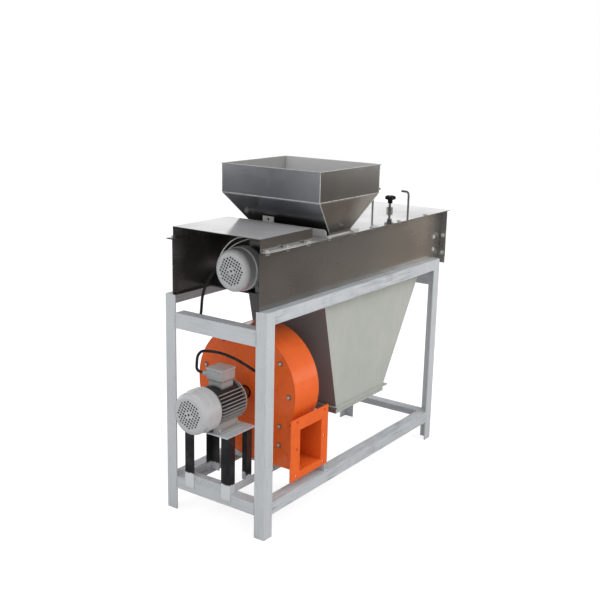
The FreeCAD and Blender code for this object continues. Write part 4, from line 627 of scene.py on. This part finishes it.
def grit_finish():
    """Bonded grit: rough grains of a brown-grey stone in a darker bond."""
    material, tree, shader = new_finish("roller_grit")
    grain = add(tree, "TexVoronoi", {"Vector": place_on(tree), "Scale": 620.0}).outputs["Distance"]
    tone = mixed(tree, ramp(tree, grain, 0.1, 0.8), colours().grit, Tone.grit_bond)
    fill(tree, shader, base_color=tone, roughness=0.9)
    relief(tree, shader, grain, 0.8, 0.0012)
    return material


def sieve_sheet():
    """Stainless sieve sheet with round holes below its straight sides, drawn as dark dots of painted shade.
    Row n lies at the arc n * row_gap, every second row is shifted by half a pitch, and a dot is where
    sqrt(u * u + v * v) < hole, with u along the row and v across it from the nearest hole's middle."""
    material, tree, shader = new_finish("sieve_sheet")
    axis_y, axis_z, reach = -0.011, 0.811, 0.0755
    pitch, hole, straight, offset = 0.0095, 0.0026, (0.800, 0.804), 5.0
    row_gap = 0.866 * pitch
    y = reckon(tree, "SUBTRACT", coordinate(tree, "Y"), axis_y)
    z = reckon(tree, "SUBTRACT", coordinate(tree, "Z"), axis_z)
    arc = product(tree, reckon(tree, "ARCTAN2", y, z), reach)
    row = reckon(tree, "ROUND", reckon(tree, "DIVIDE", arc, row_gap))
    odd = reckon(tree, "ABSOLUTE", reckon(tree, "MODULO", row, 2.0))
    along = reckon(tree, "ADD", coordinate(tree, "X"), product(tree, odd, pitch / 2))
    u = reckon(tree, "MODULO", reckon(tree, "ADD", along, offset), pitch)
    u = reckon(tree, "SUBTRACT", u, pitch / 2)
    v = reckon(tree, "SUBTRACT", arc, product(tree, row, row_gap))
    away = distance(tree, u, v)
    dot = product(tree, ramp(tree, away, hole * 0.9, hole * 1.1, 1.0, 0.0),
                  ramp(tree, coordinate(tree, "Z"), *straight, 1.0, 0.0))
    tone = mixed(tree, ramp(tree, cloud(tree, 0.05, detail=4), 0.35, 0.65), colours().sheet_light,
                 colours().sheet_dark)
    fill(tree, shader, base_color=mixed(tree, dot, tone, Tone.sieve_hole_shade),
         roughness=ramp(tree, dot, 0.0, 1.0, 0.3, 0.9), metallic=ramp(tree, dot, 0.0, 1.0, 0.95, 0.0))
    relief(tree, shader, ramp(tree, away, hole * 0.8, hole * 1.5), 0.4, 0.0008)
    return material


# The pieces

def dress(names, material):
    """Gives a finish to CAD nodes that keep their shape."""
    for name in names:
        data = NODES[name].data
        data.materials.clear()
        data.materials.append(material)


class PEELER_OT_frame(bpy.types.Operator):
    """Angle-iron frame: grey paint with mill streaks along each bar, and beads where bars are welded"""

    bl_idname = "peeler.frame"
    bl_label = "Frame"

    def execute(self, context):
        dress(("post_motor_front", "post_motor_rear", "post_outlet_front", "post_outlet_rear"),
              frame_paint("Z", 0.30))
        dress((*LONG_RAILS, "blower_base"), frame_paint("X"))
        dress((*END_RAILS, "motor_plate"), frame_paint("Y", 0.45))
        beads("frame_welds", frame_seams(), sizes().bead, bead_paint())
        return {"FINISHED"}


def frame_seams():
    """Where rails meet posts: upright runs on the outer faces. Those in front are drawn in, so that their
    beads stand little past the frame's face."""
    low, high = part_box("post_motor_front")[0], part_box("post_outlet_rear")[1]
    leg, inset, drawn_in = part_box("post_motor_front")[1].x - low.x, 0.002, 0.8
    seams = []
    for rail in LONG_RAILS:
        first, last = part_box(rail)
        y = low.y + drawn_in * sizes().bead if rail.endswith("front") else high.y
        for x in (low.x + leg, high.x - leg):
            seams.append([(x, y, first.z + inset), (x, y, last.z - inset)])
    for rail in END_RAILS:
        first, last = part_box(rail)
        x = low.x if "motor" in rail else high.x
        for y in (low.y + leg, high.y - leg):
            seams.append([(x, y, first.z + inset), (x, y, last.z - inset)])
    return seams


class PEELER_OT_body(bpy.types.Operator):
    """Sheet-metal body, lid, covers and feed hopper in rolled stainless sheet"""

    bl_idname = "peeler.body"
    bl_label = "Sheet body"

    def execute(self, context):
        tones, lines = colours(), sizes()
        # The side sheets carry painted shade and painted warm light along X.
        side = rolled_sheet("side_sheet", "X", tones.sheet_light, tones.sheet_dark, painted_light_along_x=True)
        top = rolled_sheet("top_sheet", "X", *Tone.top_sheet, (0.06, 0.14))
        upright = rolled_sheet("upright_sheet", "Z", tones.sheet_light, tones.sheet_dark)
        dress(("side_panel_front", "side_panel_rear", "motor_shelf", "discharge_chute"), side)
        dress(("motor_cover",),
              rolled_sheet("cover_sheet", "X", *Tone.cover_sheet, (0.09, 0.16), 0.60, Tone.cover_wall_shade))
        dress(("deck_plate", "lid"), top)
        dress(("slide_gate", "gate_frame"),
              rolled_sheet("gate_sheet", "Y", Tone.gate_sheet, tones.sheet_light, (0.30, 0.42), 0.45))
        # Bright strips along sheared edges: painted highlights.
        beads("sheared_edge_highlights", edge_lines(), lines.edge,
              plain_metal("edge_highlight", tones.edge, Tone.edge_highlight_dark, 0.01, metal=0.35), 0.0)
        dress(("end_panel", "bulkhead", "bearing_plate", "discharge_gate"), upright)
        dress(("hopper",), hopper_sheet())
        beads("hopper_welds", hopper_seams(), lines.seam,
              plain_metal("ground_weld", tones.edge, Tone.weld_dark, 0.02, metal=0.45))
        dress(("sieve_trough",), sieve_sheet())
        return {"FINISHED"}


def edge_lines():
    """Lines of painted highlight along the sheared edges that catch the light: flanges, lid, deck, cover,
    end flanges and the hopper's rim, where the line lies a little lower than the others."""
    lines, r = [], sizes().edge
    rim_drop = 1.2 * r

    def level(low, high, y, z):
        lines.append([(low.x, y, z), (high.x, y, z)])

    for node, side in (("side_panel_front", 1), ("side_panel_rear", -1), ("deck_plate", 0), ("lid", 0)):
        low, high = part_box(node)
        for edge, y in ((1, low.y + r), (-1, high.y - r)):
            if side in (0, edge):
                level(low, high, y, high.z - r)
    low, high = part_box("lid")
    lines.append([(high.x - r, low.y, high.z - r), (high.x - r, high.y, high.z - r)])
    low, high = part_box("motor_cover")
    for y in (low.y + r, high.y - r):
        level(low, high, y, low.z + SHEET)
    for node in ("side_panel_front", "side_panel_rear"):
        low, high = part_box(node)
        y = low.y + r if node.endswith("front") else high.y - r
        lines.append([(high.x - r, y, low.z), (high.x - r, y, high.z)])
    low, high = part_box("hopper")
    rim = [(x, y, high.z - rim_drop) for x, y in ((low.x + r, low.y + r), (high.x - r, low.y + r),
                                                   (high.x - r, high.y - r), (low.x + r, high.y - r))]
    return lines + [[rim[i], rim[(i + 1) % 4]] for i in range(4)]


def hopper_seams():
    """The hopper's ground corner welds: down the band and the taper, and round the joint between them."""
    low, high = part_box("hopper")
    middle, half = (low + high) / 2, (high - low) / 2
    rim, throat_x, throat_y = 0.004, 0.0615, 0.1565
    seams, corners = [], []
    for x, y in ((-1, -1), (1, -1), (1, 1), (-1, 1)):
        corner = (middle.x + x * (half.x - rim), middle.y + y * (half.y - rim))
        corners.append((*corner, high.z - HOPPER_BAND))
        foot = (middle.x + x * throat_x, middle.y + y * throat_y, low.z + SHEET)
        seams += [[(*corner, high.z - SHEET), corners[-1]], [corners[-1], foot]]
    return seams + [[corners[i], corners[(i + 1) % 4]] for i in range(4)]


class PEELER_OT_suction(bpy.types.Operator):
    """Suction hopper, its clean-out tray and the round duct to the blower"""

    bl_idname = "peeler.suction"
    bl_label = "Suction hopper"

    def execute(self, context):
        dress(("suction_hopper", "suction_tray", "inlet_collar"), suction_paint())
        return {"FINISHED"}


class PEELER_OT_blower(bpy.types.Operator):
    """Orange blower casing and its impeller"""

    bl_idname = "peeler.blower"
    bl_label = "Blower"

    def execute(self, context):
        paint = glossy_paint("blower_paint", colours().blower_paint, colours().blower_shade)
        dress(("fan_scroll", "fan_front_plate"), paint)
        beads("fan_seams", [fan_outline()], sizes().seam, paint, normal=(1, 0, 0))
        dress(("impeller",), plain_metal("impeller_metal", *Tone.impeller, 0.03))
        return {"FINISHED"}


def node_points(name):
    """The points of a node's mesh."""
    mesh = NODES[name].data
    points = np.empty(len(mesh.vertices) * 3)
    mesh.vertices.foreach_get("co", points)
    return points.reshape(-1, 3)


def fan_outline():
    """The outline of the blower's front plate, from its own mesh: the points of its edge in order of
    angle, drawn in by the seam's radius."""
    top_radius, least_radius, seam = 0.2, 0.185, sizes().seam
    low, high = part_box("fan_front_plate")
    points = np.unique(np.round(node_points("fan_front_plate")[:, 1:], 5), axis=0)
    centre = np.array(((low.y + high.y) / 2, high.z - top_radius))
    flat = points - centre
    radius, angle = np.hypot(flat[:, 0], flat[:, 1]), np.arctan2(flat[:, 1], flat[:, 0])
    outer = radius > least_radius
    order = np.argsort(angle[outer])
    radius, angle = radius[outer][order], angle[outer][order]
    spots = centre + (radius - seam)[:, None] * np.stack([np.cos(angle), np.sin(angle)], -1)
    spots = np.clip(spots, (low.y + seam, low.z + seam), (high.y - seam, high.z - seam))
    path = np.column_stack([np.full(len(spots), low.x), spots])
    return np.vstack([path, path[:1]])


class PEELER_OT_motors(bpy.types.Operator):
    """Both motors: cast housings, terminal boxes, cowls and the cooling fans behind the grilles"""

    bl_idname = "peeler.motors"
    bl_label = "Motors"

    def execute(self, context):
        tones, lip = colours(), 0.006
        cowl = cast_paint("motor_cowl", tones.cowl_paint, Tone.cowl_dust, 0.26)
        rotor = plain_metal("rotor_black", *Tone.rotor, 0.02, (0.4, 0.6), 0.1)
        for name in ("roller", "blower"):
            low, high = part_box(name + "_motor_cowl")
            shade = ((low.y + high.y) / 2, (low.z + high.z) / 2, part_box(name + "_motor_housing")[1].x)
            dress((name + "_motor_housing",),
                  cast_paint(name + "_casting", tones.motor_paint, tones.motor_dust, shade=shade))
            base, top = (corner.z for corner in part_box(name + "_terminal_box"))
            dress((name + "_terminal_box",),
                  box_paint(name + "_box", tones.motor_paint, tones.box_lid, base, top - lip))
            dress((name + "_motor_cowl",), cowl)
            dress((name + "_motor_rotor",), rotor)
        box_screws()
        return {"FINISHED"}


def box_screws():
    """Four domed screws, sunk a little into each terminal box's lid: a short collar under a low cap. The
    lid is a square at the box's +X and -Y sides, as a gland stands out of one of the others."""
    side, inset, sunk, steps = 0.066, 0.009, 0.0012, 16
    r = sizes().screw
    cap = [(0.0, r * TIP), (0.0, r), (0.0005, r), (0.0009, r * 0.8), (0.0011, r * 0.4), (0.0011, r * TIP)]
    grids = []
    for name in ("roller", "blower"):
        low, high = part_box(name + "_terminal_box")
        for x in (high.x - side + inset, high.x - inset):
            for y in (low.y + inset, low.y + side - inset):
                grids.append(lathed(cap, (0, 0, 1), (x, y, high.z - sunk), steps))
    shown("box_screws", points_mesh("box_screws", *many(grids, (False, True))),
          plain_metal("screw_zinc", colours().bolt_metal, Tone.screw_dark, 0.004))


def islands(name):
    """The boxes of a node's separate solids, as low and high corners, found by joining shared points."""
    mesh, points = NODES[name].data, node_points(name)
    edges = np.empty(len(mesh.edges) * 2, np.int32)
    mesh.edges.foreach_get("vertices", edges)
    edges = edges.reshape(-1, 2)
    same = np.unique(np.round(points, 6), axis=0, return_inverse=True)[1].ravel()
    first, second = same[edges[:, 0]], same[edges[:, 1]]
    label = np.arange(same.max() + 1)
    while True:
        lowest = np.minimum(label[first], label[second])
        before = label.copy()
        np.minimum.at(label, first, lowest)
        np.minimum.at(label, second, lowest)
        label = label[label]
        if (label == before).all():
            break
    found = label[same]
    groups = [points[found == one] for one in np.unique(found)]
    return [(group.min(axis=0), group.max(axis=0)) for group in groups]


def washers(name, node, tone):
    """A flat washer at each end of every bolt in a node, against what the bolt clamps: a ring with
    rounded rims, turned about the bolt's longest side. It starts a little inside the bolt's head."""
    head, rounding, overlap, steps, shade = 0.004, 0.0004, 0.92, 24, (0.56, 0.55, 0.52)
    grids, outer, wall = [], sizes().washer, sizes().washer_wall
    for low, high in islands(node):
        size, middle = high - low, (low + high) / 2
        axis = int(np.argmax(size))
        inner = np.delete(size, axis).max() / 2 * overlap
        ring = [(0, inner), (0, outer - rounding), (wall * 0.25, outer), (wall * 0.75, outer),
                (wall, outer - rounding), (wall, inner)]
        for place, way in ((low[axis] + head, -1.0), (high[axis] - head, 1.0)):
            centre, direction = middle.copy(), np.zeros(3)
            centre[axis], direction[axis] = place, way
            grids.append(lathed(ring, direction, centre, steps))
    dark = (*(part * share for part, share in zip(tone, shade)), 1)
    return shown(name, points_mesh(name, *many(grids, (True, True))), zinc(name, tone, dark))


class PEELER_OT_stand(bpy.types.Operator):
    """Near-black angle legs under the blower's motor"""

    bl_idname = "peeler.stand"
    bl_label = "Motor stand"

    def execute(self, context):
        dress(("stand_leg_front_near", "stand_leg_front_far", "stand_leg_rear_near", "stand_leg_rear_far"),
              leg_paint())
        return {"FINISHED"}


class PEELER_OT_running_gear(bpy.types.Operator):
    """Roller, shafts, coupling, bearings, screw, bolts and leads"""

    bl_idname = "peeler.running_gear"
    bl_label = "Running gear and bolts"

    def execute(self, context):
        tones = colours()
        dress(("roller_shaft", "coupling", "adjusting_screw", "screw_bush"),
              plain_metal("turned_steel", *Tone.steel, 0.01))
        dress(("bearing_motor_end", "bearing_outlet_end"),
              glossy_paint("bearing_paint", *Tone.bearing, 0.02, 0.35, 0.2, 0.2))
        dress(("roller_shell",), grit_finish())
        dress(("body_bolts", "fan_bolts", "motor_bolts"),
              zinc("bolt_zinc", tones.bolt_metal, Tone.bolt_dark, 0.005))
        washers("fan_washers", "fan_bolts", Tone.fan_washer)
        washers("body_washers", "body_bolts", tones.bolt_metal)
        dress(("motor_lead",),
              glossy_paint("cable_black", tones.plastic, Tone.cable_sheen, 0.02, 0.42, 0.1, 0.05))
        dress(("motor_lead_cores",),
              glossy_paint("cable_white", *Tone.cable_white, 0.02, 0.36, 0.2, 0.05))
        return {"FINISHED"}


class PEELER_OT_knob(bpy.types.Operator):
    """Moulded five-lobed knob with rounded lobes, in place of the plain one"""

    bl_idname = "peeler.knob"
    bl_label = "Knob"

    def execute(self, context):
        low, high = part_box("knob")
        plastic = glossy_paint("knob_plastic", colours().plastic, Tone.knob_sheen, 0.01, 0.32, 0.0, 0.12)
        mesh = surface_mesh("star_knob", star_knob(low, high), (False, True))
        piece = shown("star_knob", mesh, plastic, "gate_knob")
        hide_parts("knob")
        return {"FINISHED"}


def star_knob(low, high):
    """A star knob in a box. At a height where the profile has the share p, its radius at the angle a is
    p * (s * (waist + (outer - waist) * (0.5 + 0.5 cos(lobes * a)) ^ 0.8) + (1 - s) * neck / neck_share),
    and s rises from 0 at the neck's share to 1 at 0.3 more."""
    lobes, steps = 5, 120
    outer, waist, neck, neck_share = 0.021, 0.0145, 0.009, 0.42
    profile = np.array([(0.0, 0.0), (0.0, 0.42), (0.40, 0.42), (0.46, 0.55), (0.50, 0.80), (0.56, 0.93),
                        (0.64, 0.99), (0.74, 1.0), (0.84, 0.99), (0.92, 0.94), (0.97, 0.84), (0.99, 0.70),
                        (0.985, 0.40), (0.97, 0.0)])      # share of the height, share of the radius
    height, share = profile.T[:, :, None]
    angle = np.linspace(0, 2 * math.pi, steps, endpoint=False)
    star = waist + (outer - waist) * (0.5 + 0.5 * np.cos(lobes * angle)) ** 0.8
    starry = np.clip((share - neck_share) / 0.3, 0, 1)
    radius = share * (starry * star + (1 - starry) * neck / neck_share)
    middle = (low + high) / 2
    grid = np.empty((len(profile), steps, 3))
    grid[..., 0] = middle.x + radius * np.cos(angle)
    grid[..., 1] = middle.y + radius * np.sin(angle)
    grid[..., 2] = low.z + (high.z - low.z) * height
    return grid


class PEELER_OT_stage(bpy.types.Operator):
    """Pale floor, soft lamps, plain world and the camera at the photograph's angle"""

    bl_idname = "peeler.stage"
    bl_label = "Stage"

    def execute(self, context):
        scene = context.scene
        scene.view_settings.view_transform = "Standard"
        corners = [[(x, y, 0.0) for y in (-FLOOR_HALF, FLOOR_HALF)] for x in (-FLOOR_HALF, FLOOR_HALF)]
        floor_mesh = surface_mesh("floor", np.array(corners))
        floor = bpy.data.objects.new("floor", floor_mesh)
        scene.collection.objects.link(floor)
        floor_mesh.materials.append(floor_finish())
        world_light(scene)
        for name, place, side, share in LAMPS:
            soft_lamp(scene, name, place, side, share * sizes().lamp)
        make_camera(scene)
        return {"FINISHED"}


def floor_finish():
    """A floor that the camera sees white, with a faint shadow, and that is pale grey to diffuse light.
    Polished metal sees a workshop's floor: brown-grey on the outlet's side, blue-grey behind the
    motors' end, and darker close to the machine and far from it."""
    material, tree, shader = new_finish("floor_white")
    white_strength = 0.82
    paths = add(tree, "LightPath").outputs
    plain = add(tree, "BsdfDiffuse", {"Color": Tone.floor_plain})
    faint = add(tree, "BsdfDiffuse", {"Color": Tone.floor_faint})
    white = add(tree, "Emission", {"Color": Tone.white, "Strength": white_strength})
    seen = add(tree, "AddShader", {0: faint.outputs[0], 1: white.outputs[0]})
    side = ramp(tree, reckon(tree, "SUBTRACT", coordinate(tree, "X"), coordinate(tree, "Y")), -2.0, 2.4)
    tone = mixed(tree, side, colours().floor_far, colours().floor_near)
    place = add(tree, "VectorMath", {0: add(tree, "TexCoord").outputs["Object"]}, operation="LENGTH")
    away = place.outputs["Value"]
    patch = ramp(tree, cloud(tree, 0.9, detail=0), 0.30, 0.70, 0.60, 1.35)
    strength = product(tree, ramp(tree, away, 0.6, 2.4, 0.12, 1.0),
                       ramp(tree, away, 3.0, 4.8, 1.0, 0.42), patch)
    gloss = add(tree, "Emission", {"Color": tone, "Strength": strength})
    unseen = shader_mix(tree, paths["Is Glossy Ray"], plain, gloss)
    whole = shader_mix(tree, paths["Is Camera Ray"], unseen, seen)
    join(tree, tree.nodes["Material Output"].inputs["Surface"], whole.outputs[0])
    tree.nodes.remove(shader)
    material.cycles.emission_sampling = "NONE"
    return material


def shader_mix(tree, share, first, second):
    """One shader turning into another as the share goes from 0 to 1."""
    return add(tree, "MixShader", {0: share, 1: first.outputs[0], 2: second.outputs[0]})


def world_light(scene):
    """Even light, white to the camera. Polished metal sees a bright band low over the horizon, brightest
    beyond the outlet end, which falls off quickly upwards to a dark ceiling."""
    world = bpy.data.worlds.new("studio")
    scene.world = world
    world.use_nodes = True
    world.cycles.sampling_method = "NONE"
    tree = world.node_tree
    horizon, ceiling, even = (0.155, 0.235), (0.24, 0.70), 0.86
    direction = add(tree, "SeparateXYZ", {"Vector": add(tree, "TexCoord").outputs["Generated"]}).outputs
    side = ramp(tree, reckon(tree, "ADD", direction["X"], direction["Y"]), -0.8, 1.2, 0.30, 1.0)
    gloss = product(tree, ramp(tree, direction["Z"], *horizon, 1.0, 0.22),
                    ramp(tree, direction["Z"], *ceiling, 1.0, 0.10), side)
    paths = add(tree, "LightPath").outputs
    strength = mixed(tree, paths["Is Glossy Ray"], even, gloss, "FLOAT")
    strength = mixed(tree, paths["Is Camera Ray"], strength, 1.0, "FLOAT")
    fill(tree, tree.nodes["Background"], color=Tone.white, strength=strength)


def soft_lamp(scene, name, place, side, power):
    """A square area lamp aimed at the machine's middle. Polished metal doesn't mirror it."""
    lamp = bpy.data.lights.new(name, "AREA")
    lamp.energy = power
    lamp.size = side
    thing = bpy.data.objects.new(name, lamp)
    scene.collection.objects.link(thing)
    place = np.array(place, float)
    thing.matrix_world = aimed(place, np.array(LAMP_TARGET) - place)
    thing.visible_glossy = False


def aimed(place, forward, roll=0.0):
    """A matrix at a place whose -Z axis points forward and whose Y axis points up, then rolled."""
    forward = forward / np.linalg.norm(forward)
    right = np.cross(forward, (0, 0, 1))
    right /= np.linalg.norm(right)
    up = np.cross(right, forward)
    turned_right = math.cos(roll) * right + math.sin(roll) * up
    turned_up = math.cos(roll) * up - math.sin(roll) * right
    columns = np.column_stack([turned_right, turned_up, -forward, place])
    return Matrix([*columns.tolist(), (0, 0, 0, 1)])


def make_camera(scene):
    """The camera at the photograph's place, turn and slight roll."""
    data = bpy.data.cameras.new("camera")
    data.lens = sizes().lens * 1000
    camera = bpy.data.objects.new("camera", data)
    scene.collection.objects.link(camera)
    turn, rise = math.radians(CAMERA_TURN), math.radians(CAMERA_RISE)
    back = np.array((math.sin(turn) * math.cos(rise), -math.cos(turn) * math.cos(rise), math.sin(rise)))
    camera.matrix_world = aimed(np.array(CAMERA_PLACE), -back, math.radians(CAMERA_ROLL))
    scene.camera = camera


class PEELER_PT_panel(bpy.types.Panel):
    """Lists the pieces of the peeling machine"""

    bl_idname = "PEELER_PT_panel"
    bl_label = "Peanut peeler"
    bl_space_type = "VIEW_3D"
    bl_region_type = "UI"
    bl_category = "Peeler"

    def draw(self, context):
        for made in OPERATORS:
            self.layout.operator(made.bl_idname)
        for group in (context.scene.peeler_sizes, context.scene.peeler_colours):
            for name in group.__annotations__:
                self.layout.prop(group, name)


OPERATORS = (PEELER_OT_stage, PEELER_OT_frame, PEELER_OT_body, PEELER_OT_suction, PEELER_OT_blower,
             PEELER_OT_motors, PEELER_OT_stand, PEELER_OT_running_gear, PEELER_OT_knob)
CLASSES = (PeelerColours, PeelerSizes) + OPERATORS + (PEELER_PT_panel,)


def register():
    for made in CLASSES:
        bpy.utils.register_class(made)
    bpy.types.Scene.peeler_colours = PointerProperty(type=PeelerColours)
    bpy.types.Scene.peeler_sizes = PointerProperty(type=PeelerSizes)


def unregister():
    del bpy.types.Scene.peeler_sizes
    del bpy.types.Scene.peeler_colours
    for made in reversed(CLASSES):
        bpy.utils.unregister_class(made)


def main():
    """Makes every piece in order."""
    register()
    for made in OPERATORS:
        group, action = made.bl_idname.split(".")
        getattr(getattr(bpy.ops, group), action)()


if __name__ == "__main__":
    main()
